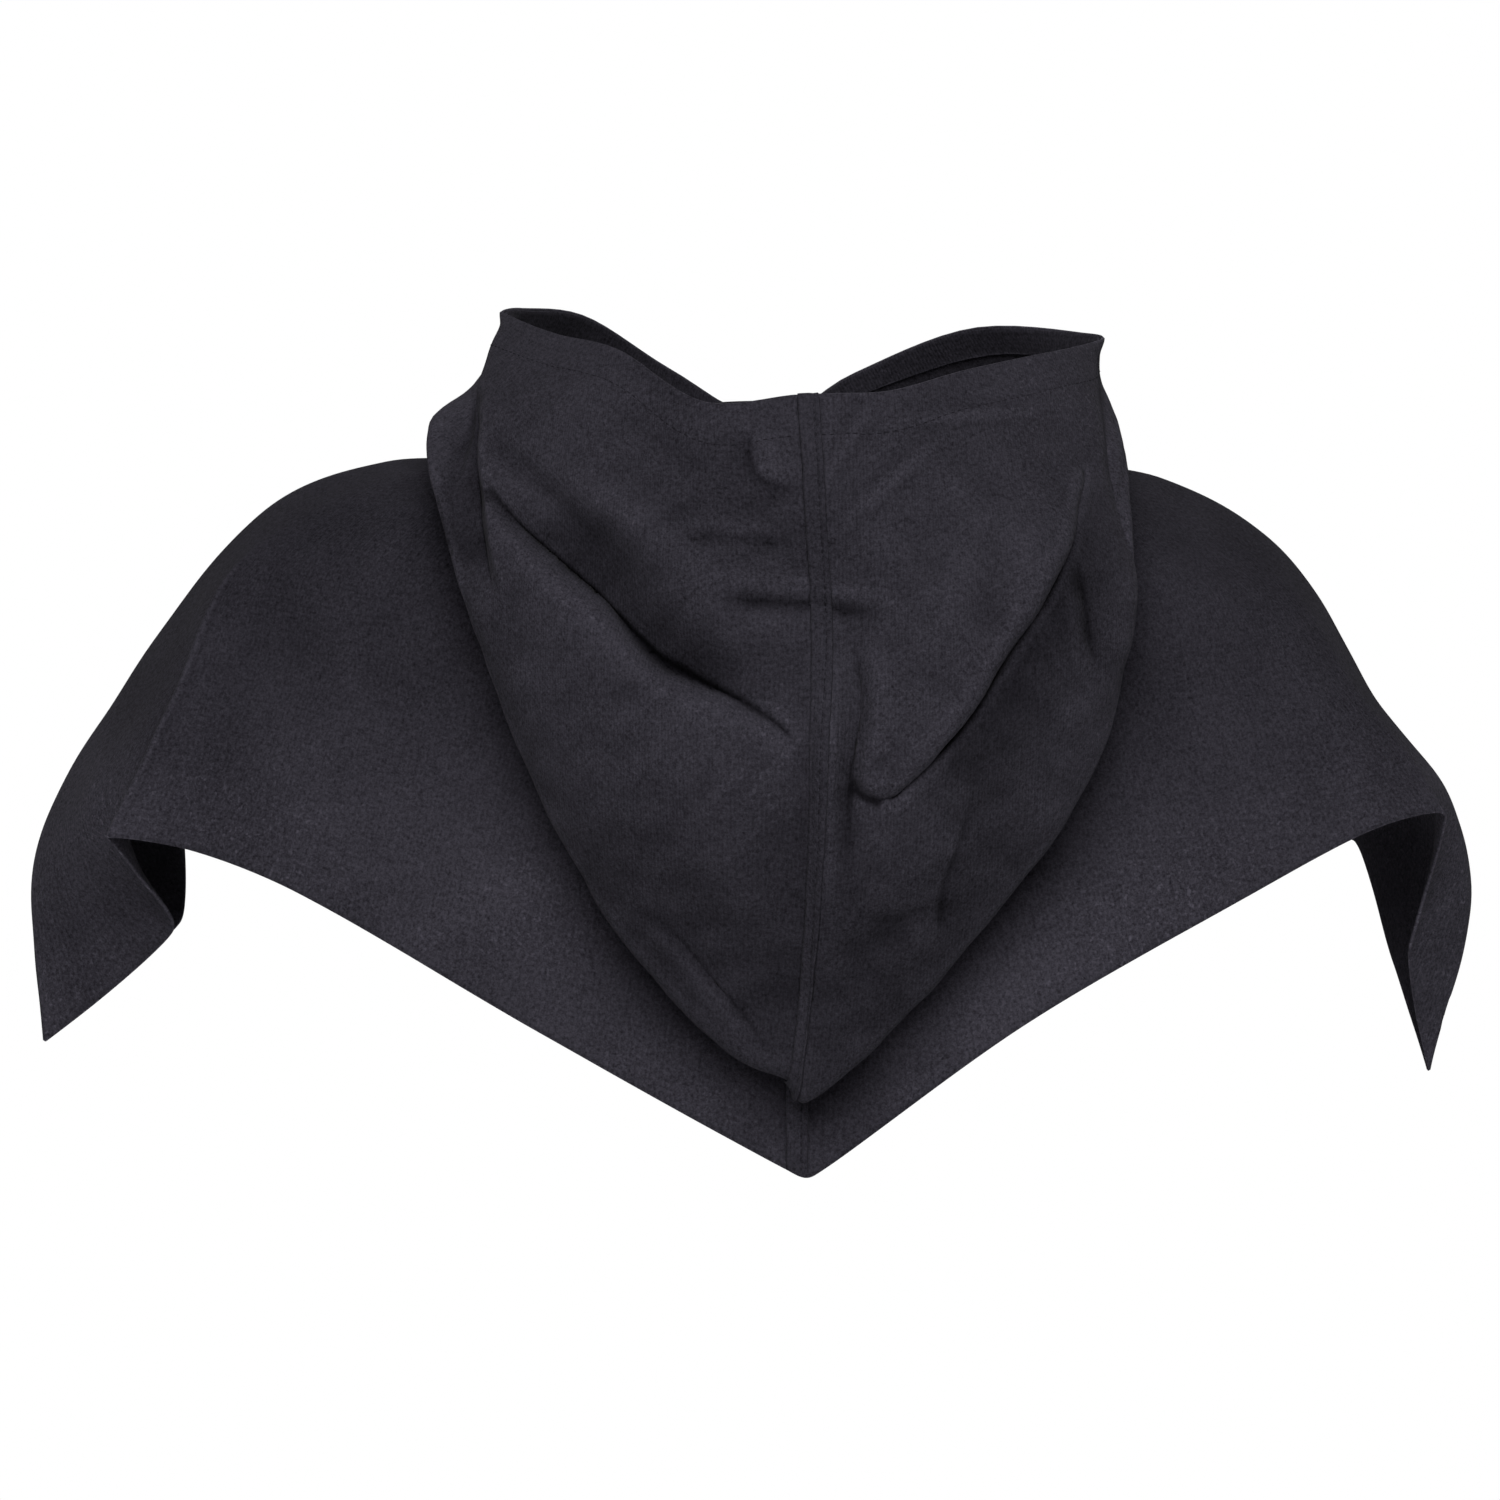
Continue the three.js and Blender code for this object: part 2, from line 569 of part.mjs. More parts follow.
// Felled seam band along the middle seam of a half, on its outside.
function seamBand({ points, directions }) {
  return layer({ points: points.slice(0, 2), directions: directions.slice(0, 2) }, 1, SEAM_THICKNESS);
}

// Turned-in hem along the rim of a half, on its inside.
function rimHem({ points, directions }) {
  const top = (line) => line.slice(0, RIM_HEM_STEPS + 1);
  return layer({ points: points.map(top), directions: directions.map(top) }, -1, RIM_HEM_THICKNESS);
}

const clothMaterial = () =>
  new THREE.MeshStandardMaterial({ color: CLOTH_COLOUR, roughness: 0.92, metalness: 0 });

function piece(name, geometry) {
  const mesh = new THREE.Mesh(geometry, clothMaterial());
  mesh.name = name;
  return mesh;
}

const garment = new THREE.Group();
garment.add(piece("cape_left", cloth(capeLeft)));
garment.add(piece("cape_right", cloth(capeRight)));
garment.add(piece("cape_back_seam", seamBand(capeRight)));
garment.add(piece("hood_left", cloth(hoodLeft)));
garment.add(piece("hood_right", cloth(hoodRight)));
garment.add(piece("crown_seam", seamBand(hoodRight)));
garment.add(piece("rim_hem_left", rimHem(hoodLeft)));
garment.add(piece("rim_hem_right", rimHem(hoodRight)));

export default garment;
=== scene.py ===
import math

import bpy
import numpy as np
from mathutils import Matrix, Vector


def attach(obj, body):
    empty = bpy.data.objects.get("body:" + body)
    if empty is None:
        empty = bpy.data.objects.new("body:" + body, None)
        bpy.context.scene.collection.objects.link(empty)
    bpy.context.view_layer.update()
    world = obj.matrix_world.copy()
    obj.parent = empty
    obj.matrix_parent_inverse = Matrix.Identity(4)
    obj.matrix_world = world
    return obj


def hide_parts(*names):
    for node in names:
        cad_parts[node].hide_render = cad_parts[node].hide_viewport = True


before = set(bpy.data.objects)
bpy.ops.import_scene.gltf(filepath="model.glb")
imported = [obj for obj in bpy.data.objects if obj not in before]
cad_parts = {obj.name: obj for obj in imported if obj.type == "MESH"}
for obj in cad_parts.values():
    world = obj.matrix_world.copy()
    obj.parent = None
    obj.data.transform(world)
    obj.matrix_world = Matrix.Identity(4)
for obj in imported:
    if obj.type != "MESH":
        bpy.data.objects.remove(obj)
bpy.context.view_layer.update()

# Cloth and seams
CLOTH = 0.0018  # thickness of one canvas wall
GAP = 0.0003
SEAM_WIDTH = 0.009
SEAM_THICKNESS = 0.0012
RIM_HEM_DEPTH = 0.020
RIM_HEM_THICKNESS = 0.0012

# Neck opening
NECK_HALF_WIDTH = 0.114
NECK_BACK = 0.080
NECK_FRONT = 0.080
NAPE_RISE = 0.006
THROAT_FALL = 0.020

# Shoulder cape
SHOULDER_HALF_WIDTH = 0.220
SHOULDER_FALL = 0.031
SHOULDER_CROWN = 0.011
CAPE_HALF_SPAN = 0.318
CAPE_BACK_DEPTH = 0.125
CAPE_FRONT_DEPTH = 0.118
BACK_LENGTH = 0.300
ARM_LENGTH = 0.256
FRONT_LENGTH = 0.288

# Lowered hood
HOOD_HALF_WIDTH = 0.142
RIM_RISE = 0.057
RIM_BACK = 0.142
RIM_FRONT = 0.088
BAG_SWELL = 0.034
BAG_FOLD_RADIUS = 0.0065
BAG_CLEARANCE = 0.008
NAPE_STAND = 0.012
NAPE_LEAN = 0.005

# Cape sections all the way round: turn, soft, length, then bend, middle, lower and hem as shares across, out
# and down. Turn 0 is the middle of the back, 0.5 the right arm, -0.5 the left arm, 1 the middle of the front.
CAPE_ROWS = [
    (-1, 1, FRONT_LENGTH, (0, 0.94, 3.4), None, None, (0, 1, 1)),
    (-0.86, 1, FRONT_LENGTH, (-0.36, 0.9, 2.8), None, None, (-0.3, 0.97, 0.8)),
    (-0.75, 1, ARM_LENGTH, (-0.74, 0.74, 1.9), None, None, (-0.58, 0.88, 0.72)),
    (-0.64, 0.5, ARM_LENGTH, (-0.92, 0.52, 1.5), (-0.77, 0.62, 0.41), (-0.8, 0.68, 0.53), (-0.81, 0.7, 0.64)),
    (-0.57, 0.5, ARM_LENGTH, (-0.98, 0.28, 1.25),
     (-0.84, 0.34, 0.42), (-0.92, 0.42, 0.62), (-0.815, 0.33, 0.81)),
    (-0.5, 0, ARM_LENGTH, (-1, 0, 1), (-0.892, 0, 0.425), (-1, 0.02, 0.69), (-0.987, 0, 1)),
    (-0.43, 0.5, ARM_LENGTH, (-1.01, -0.24, 1.25),
     (-0.84, -0.3, 0.42), (-0.92, -0.36, 0.62), (-0.81, -0.3, 0.805)),
    (-0.36, 0.35, ARM_LENGTH, (-1.01, -0.44, 1.5),
     (-0.792, -0.54, 0.41), (-0.838, -0.59, 0.53), (-0.88, -0.63, 0.64)),
    (-0.31, 0.8, ARM_LENGTH, (-0.94, -0.52, 1.5), None, None, (-0.775, -0.71, 0.655)),
    (-0.25, 1, BACK_LENGTH, (-0.74, -0.72, 1.6), None, None, (-0.63, -0.82, 0.615)),
    (-0.14, 1, BACK_LENGTH, (-0.3, -0.9, 2.2), None, None, (-0.32, -0.96, 0.8)),
    (0, 0.6, BACK_LENGTH, (0.02, -0.93, 2.4), None, None, (0.013, -1, 0.995)),
    (0.03, 0.6, BACK_LENGTH, (0.08, -0.93, 2.4), None, None, (0.05, -1, 1.003)),
    (0.14, 1, BACK_LENGTH, (0.32, -0.9, 2.2), None, None, (0.325, -0.96, 0.795)),
    (0.25, 1, BACK_LENGTH, (0.72, -0.72, 1.8), None, None, (0.62, -0.82, 0.62)),
    (0.31, 1, ARM_LENGTH, (0.88, -0.56, 1.9), None, None, (0.793, -0.7, 0.618)),
    (0.37, 0.4, ARM_LENGTH, (0.97, -0.4, 1.9), (0.76, -0.48, 0.4), (0.845, -0.5, 0.52), (0.89, -0.5, 0.605)),
    (0.44, 0.6, ARM_LENGTH, (0.985, -0.2, 1.6),
     (0.79, -0.22, 0.41), (0.905, -0.26, 0.62), (0.852, -0.16, 0.845)),
    (0.5, 0, ARM_LENGTH, (0.985, 0, 1.45), (0.8, 0, 0.41), (0.932, -0.06, 0.73), (0.885, 0, 1.05)),
    (0.57, 0.6, ARM_LENGTH, (0.96, 0.24, 1.5), (0.79, 0.28, 0.41), (0.88, 0.32, 0.62), (0.848, 0.27, 0.88)),
    (0.64, 0.6, ARM_LENGTH, (0.9, 0.5, 1.7), (0.74, 0.58, 0.41), (0.78, 0.62, 0.53), (0.8, 0.62, 0.68)),
    (0.75, 1, ARM_LENGTH, (0.74, 0.74, 1.9), None, None, (0.58, 0.88, 0.72)),
    (0.86, 1, FRONT_LENGTH, (0.36, 0.9, 2.8), None, None, (0.3, 0.97, 0.8)),
    (1, 1, FRONT_LENGTH, (0, 0.94, 3.4), None, None, (0, 1, 1)),
]

# Hood sections in the same turns: turn, rim, the bag's lower edge as turn and down on the cape, turn on the
# neck seam, the way the cloth bulges in degrees from straight back, bulge above, at and below the middle, and
# slack.
STRAIGHT = (0, 0, 0)
HOOD_ROWS = [
    (-1, (-0.02, 1, 0.16), (1, 0.1), 1, 180, STRAIGHT, 0),
    (-0.87, (-0.32, 0.76, 0.55), (-0.84, 0.1), -0.82, 200, STRAIGHT, 0),
    (-0.74, (-0.58, 0.35, 0.96), (-0.6, 0.1), -0.6, 240, STRAIGHT, 0.1),
    (-0.62, (-0.77, -0.06, 1.02), (-0.42, 0.08), -0.44, 262, (-0.1, -0.25, -0.2), 0.5),
    (-0.53, (-0.835, -0.2, 1), (-0.27, 0.13), -0.33, -65, (-0.15, -0.35, -0.3), 1),
    (-0.45, (-0.79, -0.32, 0.95), (-0.215, 0.28), -0.26, -45, (0.1, 0.25, 0.25), 1),
    (-0.34, (-0.65, -0.53, 0.83), (-0.175, 0.53), -0.23, -20, (0.35, 0.75, 0.6), 1),
    (-0.22, (-0.46, -0.72, 0.71), (-0.12, 0.75), -0.15, -8, (0.5, 1, 0.75), 1),
    (-0.1, (-0.21, -0.92, 0.34), (-0.05, 0.87), -0.07, 2, (0.4, 1, 0.8), 1),
    (0, (0.06, -0.9, 0.39), (0.003, 0.873), 0, 12, (0.4, 1, 0.75), 1),
    (0.06, (0.17, -0.92, 0.4), (0.02, 0.895), 0.05, 8, (0.4, 1, 0.75), 1),
    (0.15, (0.33, -0.95, 0.42), (0.07, 0.88), 0.11, 8, (0.4, 1, 0.75), 1),
    (0.26, (0.54, -0.83, 0.56), (0.128, 0.8), 0.18, 12, (0.4, 0.9, 0.75), 1),
    (0.36, (0.73, -0.67, 0.66), (0.175, 0.69), 0.25, 22, (0.35, 0.8, 0.7), 1),
    (0.45, (0.88, -0.46, 0.73), (0.21, 0.5), 0.26, 35, (0.2, 0.5, 0.5), 1),
    (0.53, (0.98, -0.25, 0.79), (0.235, 0.24), 0.31, 60, (-0.1, -0.1, 0.1), 1),
    (0.61, (0.95, -0.1, 0.83), (0.38, 0.08), 0.42, 85, (-0.1, -0.1, 0), 0.6),
    (0.74, (0.6, 0.35, 0.87), (0.6, 0.1), 0.6, 120, STRAIGHT, 0.1),
    (0.87, (0.24, 0.76, 0.52), (0.84, 0.1), 0.82, 160, STRAIGHT, 0),
    (1, (-0.02, 1, 0.16), (1, 0.1), 1, 180, STRAIGHT, 0),
]

CAPE_STOPS = np.array([0, 0.12, 0.3, 0.55, 0.78, 1])
HOOD_STOPS = np.array([0, 0.08, 0.22, 0.38, 0.5, 0.53, 0.56, 0.68, 0.79, 0.89, 0.95, 1])
CAPE_SHOULDER = 0.5
CAPE_MIDDLE = 0.36
CAPE_LOWER = 0.7
OUTER_LAYER = (0.14, 0.42, 0.75)
UNDER_LAYER = (0.33, 0.6, 0.84)

# Folds of the bag, seen from behind, in millimetres. line: points across and up, as shares of the hood's half
# width and of the cape's back length, walked so that the overlapping cloth is on the left hand. lip: how far
# that cloth stands out, rising over nose and fading over reach. sink: how far the other side lies back,
# fading over under. crease: depth of the groove on the line. tuck: how far the lip laps over. fade: shares at
# the line's ends. shade: how much painted shade darkens the cloth under the lip, set by the photo's tones.
FOLD_COLUMNS = ("lip", "nose", "reach", "sink", "under", "crease", "tuck", "fade", "shade")
FOLDS = [
    (
        [(0.05, -0.401), (0.04, -0.391), (-0.02, -0.37), (-0.11, -0.348), (-0.23, -0.323), (-0.35, -0.292),
         (-0.44, -0.251), (-0.52, -0.211), (-0.64, -0.163), (-0.78, -0.099), (-0.87, -0.039)],
        (5.5, 4, 34, 12, 19, 4, 0.6, (0.06, 0.06), 0.42),
    ),
    (
        [(0.31, -0.474), (0.39, -0.439), (0.44, -0.416), (0.55, -0.356), (0.66, -0.275), (0.8, -0.179),
         (0.88, -0.115), (0.95, -0.025)],
        (10, 3, 30, -4, 30, 6, 3.5, (0.03, 0.03), 0.68),
    ),
    ([(0.22, -0.442), (0.25, -0.463), (0.31, -0.474)], (4, 3, 12, 1, 8, 2.2, 1, (0.3, 0.05), 0.2)),
    (
        [(0.23, -0.237), (0.26, -0.339), (0.23, -0.435), (0.22, -0.52), (0.21, -0.6)],
        (3, 3.5, 9, 3.2, 10, 1.1, 0, (0.3, 0.5), 0.12),
    ),
    (
        [(0.94, -0.312), (0.9, -0.271), (0.88, -0.189), (0.87, -0.15)],
        (1.8, 3, 9, 2, 8, 0.8, 0.2, (0.35, 0.35), 0.04),
    ),
    (
        [(0.45, -0.729), (0.46, -0.613), (0.51, -0.538), (0.55, -0.476), (0.55, -0.422)],
        (1.4, 5, 20, 1.6, 16, 0.2, 0, (0.4, 0.45), 0.16),
    ),
    (
        [(0.22, -0.62), (0.3, -0.629), (0.42, -0.616), (0.49, -0.586)],
        (0.7, 5, 14, 0.9, 12, 0.1, 0, (0.4, 0.45), 0.06),
    ),
    (
        [(-0.25, -0.189), (-0.06, -0.2), (0.09, -0.203), (0.21, -0.211), (0.36, -0.214)],
        (2.4, 3.5, 10, 2.2, 8, 1.2, 0.2, (0.35, 0.35), 0.1),
    ),
    ([(-0.31, -0.114), (-0.12, -0.119), (0.05, -0.123)], (0.9, 3, 8, 0.9, 6, 0.7, 0, (0.35, 0.3), 0.03)),
    (
        [(-0.06, 0.041), (-0.06, -0.004), (-0.04, -0.032), (0.03, -0.044), (0.09, -0.044)],
        (1.0, 4, 11, 1.6, 10, 0.2, 0, (0.4, 0.4), 0.24),
    ),
    (
        [(0.01, -0.848), (-0.06, -0.806), (-0.18, -0.74), (-0.32, -0.661), (-0.53, -0.588)],
        (2.2, 3, 9, 2, 8, 1.5, 0.3, (0.08, 0.65), 0.08),
    ),
    (
        [(-0.88, 0.087), (-0.89, 0.043), (-0.89, -0.011), (-0.87, -0.066), (-0.84, -0.134), (-0.79, -0.216)],
        (5, 1.5, 9, 8, 20, 3, 0.3, (0.08, 0.35), 0.34),
    ),
]

FOLD_FADE = 0.3  # least share of a fold's line over which its cloth rises at either end
SINK_START = 1.0  # millimetres, as are the next six
CREASE_REACH = 2.4
SHADE_START = 1.6
SHADE_REACH = 26
TUCK_PLACE = 2.5
TUCK_REACH = 3.5
TUCK_EDGE = (-3, 0.5)
FOLD_LEAN = 0.4  # share of the cloth's own facing in the way that folds stand out, the rest is straight back
FOLD_CALM = 0.4  # share that a point keeps of its own shift, the rest is its four neighbours'

# Where the folds come in or end, as downs or turns
FOLDS_FROM = (0, 0.03)
FOLDS_TO = (0.44, 0.51)
FOLDS_ROUND = (0.5, 0.6)
PULLS_ROUND = (0.55, 0.7)
LINE_STEPS = 12  # steps between two points of a fold's line

# Soft hollows and swells of the bag: centre across and up, half sizes along and across in millimetres, the
# way that the long size runs in degrees, and how far it stands out in millimetres.
MOUNDS = [
    ((-0.52, -0.14), 26, 15, -40, -9),
    ((-0.44, -0.09), 26, 9, -32, 4),
    ((-0.76, -0.02), 30, 6, -40, -3.5),
    ((-0.18, -0.18), 32, 20, -25, 8),
    ((0.6, -0.22), 62, 34, 57, 2),
    ((0.25, -0.33), 24, 5, 90, -2.5),
    ((0.62, -0.2), 24, 9, 84, -3.5),
    ((0.48, -0.22), 26, 9, 70, 2.5),
    ((0, -0.44), 80, 42, 0, 4),
    ((0, -0.78), 64, 30, 0, -6),
    ((0.75, -0.42), 34, 20, 60, -5),
    ((0.14, -0.43), 60, 6.5, 91, 5),
    ((-0.45, -0.42), 44, 26, -60, 4),
    ((-0.2, -0.63), 40, 12, -42, -3),
    ((0.33, -0.66), 26, 9, 50, -3),
    ((0.56, 0.046), 22, 2.4, 4, 1.3),
    ((0.35, -0.035), 20, 3, 42, 1.6),
    ((0.22, 0.02), 16, 3, 60, 1.3),
    ((-0.62, 0.04), 34, 16, 20, 3),
    ((-0.36, 0.02), 26, 8, -36, -3),
]

LEFT, RIGHT = -1, 1

# Pulls towards the middle, in metres: side, how far across they start and are whole, their middle height and
# half height, and how far they pull. The corners' pulls take the rim along.
SIDE_PULLS = [(RIGHT, 0.095, 0.14, -0.02, 0.036, 0.008), (LEFT, 0.115, 0.14, 0.005, 0.035, 0.005)]
CORNER_PULLS = [(RIGHT, 0.118, 0.139, 0.056, 0.011, 0.003), (LEFT, 0.098, 0.12, 0.064, 0.012, 0.003)]

# The fold pressed into the cape beside the left arm
PRESSED_TURN = -0.362
PRESSED_WIDTH = 0.006
PRESSED_HEIGHT = 0.0016
PRESSED_START = (0.27, 0.36)

# Over the arms the cape bends without a corner, and comes to one near its hem
SHOULDER_SOFT = 0.7
SHOULDER_TURNS = (0.3, 0.4)
SHOULDER_DOWNS = (0.55, 0.95)

# Gentle swells of the cloth: wave size, height and seed
CAPE_SWELLS = ((0.11, 0.0016, 3), (0.04, 0.0003, 4))
HOOD_SWELLS = ((0.06, 0.0011, 7), (0.022, 0.0003, 8))
WAVES = 9
SEAM_SWELL = 0.4  # share of the hood's wide swell that is left at the crown seam

# Where the cloth is loose enough to swell, from none to whole, in downs or turns
CAPE_BELOW_NECK = (0, 0.5)
CAPE_FROM_BACK_SEAM = (0, 0.06)
CAPE_FROM_FRONT_SEAM = (1, 0.94)
HOOD_BELOW_RIM = (0, 0.05)
HOOD_BEFORE_NECK = (0.62, 0.5)
HOOD_FROM_SEAM = (0, 0.05)

# Grids of the cloth: where their steps change, in turns or downs, and the steps in each stretch
CAPE_TURNS = ((0, 0.3, 0.7, 1), (110, 130, 60))
CAPE_DOWNS = ((0, 0.2, 1), (24, 90))
HOOD_TURNS = ((0, 0.5, 0.62, 1), (150, 16, 20))
HOOD_DOWNS = ((0, 0.5, 0.56, 1), (176, 12, 44))

# Stitches: pitch, length and thickness of the thread
SEAM_STITCH = (0.0034, 0.0026, 0.0007)
HEM_STITCH = (0.0034, 0.0024, 0.00045)
THREAD_RISE = 0.35
THREAD_SINK = 0.2
THREAD_TAPER = 0.75
SEAM_LINE = 0.0067  # how far from its seam a band is stitched
SEAM_LINE_WIDTH = 0.0009
SEAM_PULL = 0.0005
BAND_STEPS = np.array([
    0.0002, 0.0008, 0.002, 0.0035, 0.005, 0.006, 0.0066, 0.0072, 0.008, 0.0086, SEAM_WIDTH,
])
BAND_STITCHED = 6  # the step that the stitches follow
NEAR_SEAM = 40  # columns of a grid that a band can reach
NEAR_RIM = 60  # rows of a grid that a hem can reach
HEM_STEPS = np.linspace(0.0005, RIM_HEM_DEPTH, 14)
HEM_LINE = RIM_HEM_DEPTH - 0.002

# Wear and painted light and shade, as a change of the cloth's colour. The relief's rows, for painted shade in
# creases and painted highlight on crests, are a reach in grid steps and a strength. Each range is two
# heights, between which a change comes in.
CAPE_RELIEF = ((2, 0.7), (4, 0.12))
HOOD_RELIEF = ((3, 0.5), (5, 0.08))
RELIEF_LIMITS = (-0.6, 0.22)
EDGE_WEAR = 0.8
CAPE_LOW_PALER = 0.42  # paler low on the cape
CAPE_LOW_RANGE = (-0.10, -0.20)
CAPE_LOW_PATCHES = (0.09, 21)  # wave size and seed
CAPE_LOW_EVEN = 0.7  # share of the paler tone that is the same everywhere
# painted shade on the cape high up round the neck
NECK_PAINTED_SHADE = 0.22
NECK_SHADE_RANGE = (-0.14, -0.03)
# painted shadow of the bag on the cape beside and under it
BAG_PAINTED_SHADOW = 0.16  # darker on the cape beside and under the bag
BAG_SHADOW_LOW = 0.4
BAG_SHADOW_RANGE = (-0.09, -0.19)
BAG_SHADOW_REACH = 0.022
# the bag's lower edge, which the painted shadow follows
BAG_EDGE_TURNS = np.linspace(-0.6, 0.6, 90)
BAG_EDGE_DOWN = 0.53
HOOD_PALER = 0.1
# painted shade on the hood low down, where the bag turns under
HOOD_LOW_PAINTED_SHADE = 0.3
HOOD_SHADE_RANGE = (-0.1, -0.23)
# painted highlight on the stiff turnings beside the crown seam
STIFF_PAINTED_HIGHLIGHT = 0.24  # the stiff turnings beside the crown seam
STIFF_PLACE = 0.018
STIFF_WIDTH = 0.0055
STIFF_START = (-0.05, -0.09)
STIFF_END = (-0.15, -0.2)

CLOTH_COLOUR = (0.0148, 0.0139, 0.0177)
# painted shade: the inner side of the cloth is a darker copy of the same canvas
INSIDE_SHADE_SHARE = 0.8
THREAD_SHARE = 0.8
CLOTH_BUMP = 0.45
THREAD_BUMP = 0.2
BUMP_HEIGHT = 0.0006
FUZZ = (620, 3)  # scale and detail of a noise, as are the next four
GRAIN = (1500, 2)
BLOTCH = (14, 5)
PATCH = (11, 3)
FLECK = (560, 2)
WARP_SHARE = 0.65
# how far the wear and the painted light and shade bring out the flecks
FLECKS_BY_WEAR_AND_SHADE = 1.6
PATCH_SPAN = (0.45, 0.65, 0.1, 0.8)  # a range of values, and what it becomes
FLECK_SPAN = (0.6, 0.7, 0, 1)
TONE_SPAN = (0.68, 1.68, 0, 1)
HEIGHT_SHARES = (0.8, 0.6)  # weave and fuzz
TONE_SHARES = (0.1, 0.85, 0.8, 0.45, 0.4)  # weave, fuzz, grain, blotches and flecks
WARP_PITCH = 0.0017
WEFT_PITCH = 0.0023
WAVE_SCALE = 0.314  # a wave texture's scale for a pitch of one metre
DARKEST = 0.3
PALEST = 2.4


def hermite(stops, points, soft, closed):
    """Slopes of a smooth curve through points at given stops, along the first axis."""
    last = len(stops) - 1
    slopes = np.empty_like(points)
    for i in range(last + 1):
        before = max(i - 1, 0)
        after = min(i + 1, last)
        rise = points[after] - points[before]
        run = stops[after] - stops[before]
        if closed and i in (0, last):
            rise = points[1] - points[last - 1]
            run = stops[1] - stops[0] + stops[last] - stops[last - 1]
        slopes[i] = rise * soft[i] / run
    return slopes


def blended(p0, m0, p1, m1, span, u):
    return (
        (2 * u**3 - 3 * u**2 + 1) * p0
        + span * (u**3 - 2 * u**2 + u) * m0
        + (3 * u**2 - 2 * u**3) * p1
        + span * (u**3 - u**2) * m1
    )


class Surface:
    """A closed surface through rows of section points."""

    def __init__(self, turns, soft, sections, stops):
        self.turns = np.array(turns, float)
        self.points = np.array(sections, float)
        self.stops = stops
        self.slopes = hermite(self.turns, self.points, soft, True)

    def sections_at(self, turns):
        i = np.clip(np.searchsorted(self.turns, turns, "right") - 1, 0, len(self.turns) - 2)
        span = self.turns[i + 1] - self.turns[i]
        u = ((turns - self.turns[i]) / span)[:, None, None]
        span = span[:, None, None]
        return blended(self.points[i], self.slopes[i], self.points[i + 1], self.slopes[i + 1], span, u)

    def at(self, turns, downs):
        """Points at turns (n) and downs (n, m)."""
        sections = self.sections_at(np.asarray(turns, float)).transpose(1, 0, 2)
        slopes = hermite(self.stops, sections, np.ones(len(self.stops)), False)
        downs = np.asarray(downs, float)
        i = np.clip(np.searchsorted(self.stops, downs, "right") - 1, 0, len(self.stops) - 2)
        n = np.arange(downs.shape[0])[:, None]
        span = (self.stops[i + 1] - self.stops[i])[..., None]
        u = (downs - self.stops[i])[..., None] / span
        return blended(sections[i, n], slopes[i, n], sections[i + 1, n], slopes[i + 1, n], span, u)

    def point(self, turn, down):
        return self.at([turn], [[down]])[0, 0]

    def facing(self, turn, down):
        step = 0.004
        across = self.point(min(turn + step, 1), down) - self.point(max(turn - step, -1), down)
        downward = self.point(turn, min(down + step, 1)) - self.point(turn, max(down - step, 0))
        way = np.cross(downward, across)
        return way / np.linalg.norm(way)


def neck_point(turn, lift):
    angle = turn * math.pi
    depth = NECK_BACK if abs(turn) < 0.5 else NECK_FRONT
    level = (NAPE_RISE - THROAT_FALL) / 2
    swing = (NAPE_RISE + THROAT_FALL) / 2
    return np.array([
        math.sin(angle) * NECK_HALF_WIDTH,
        -math.cos(angle) * depth,
        level + math.cos(angle) * swing + lift,
    ])


def cape_point(share, half_width, length):
    depth = CAPE_BACK_DEPTH if share[1] < 0 else CAPE_FRONT_DEPTH
    return np.array([share[0] * half_width, share[1] * depth, -share[2] * length])


def mix(a, b, share):
    return a + (b - a) * share


def cape_section(row):
    turn, _, length, bend_share, middle_share, lower_share, hem_share = row
    neck = neck_point(turn, -GAP / 2)
    bend = cape_point(bend_share, SHOULDER_HALF_WIDTH, SHOULDER_FALL)
    hem = cape_point(hem_share, CAPE_HALF_SPAN, length)
    shoulder = mix(neck, bend, CAPE_SHOULDER) + np.array([0, 0, SHOULDER_CROWN])
    middle = cape_point(middle_share, CAPE_HALF_SPAN, length) if middle_share else mix(bend, hem, CAPE_MIDDLE)
    lower = cape_point(lower_share, CAPE_HALF_SPAN, length) if lower_share else mix(bend, hem, CAPE_LOWER)
    return [neck, shoulder, bend, middle, lower, hem]


cape_sections = [cape_section(row) for row in CAPE_ROWS]
cape_turns = [row[0] for row in CAPE_ROWS]
cape = Surface(cape_turns, [row[1] for row in CAPE_ROWS], cape_sections, CAPE_STOPS)
rounded_cape = Surface(cape_turns, [row[1] or SHOULDER_SOFT for row in CAPE_ROWS], cape_sections, CAPE_STOPS)


def over_cape(turn, down, clearance):
    return cape.point(turn, down) + cape.facing(turn, down) * clearance


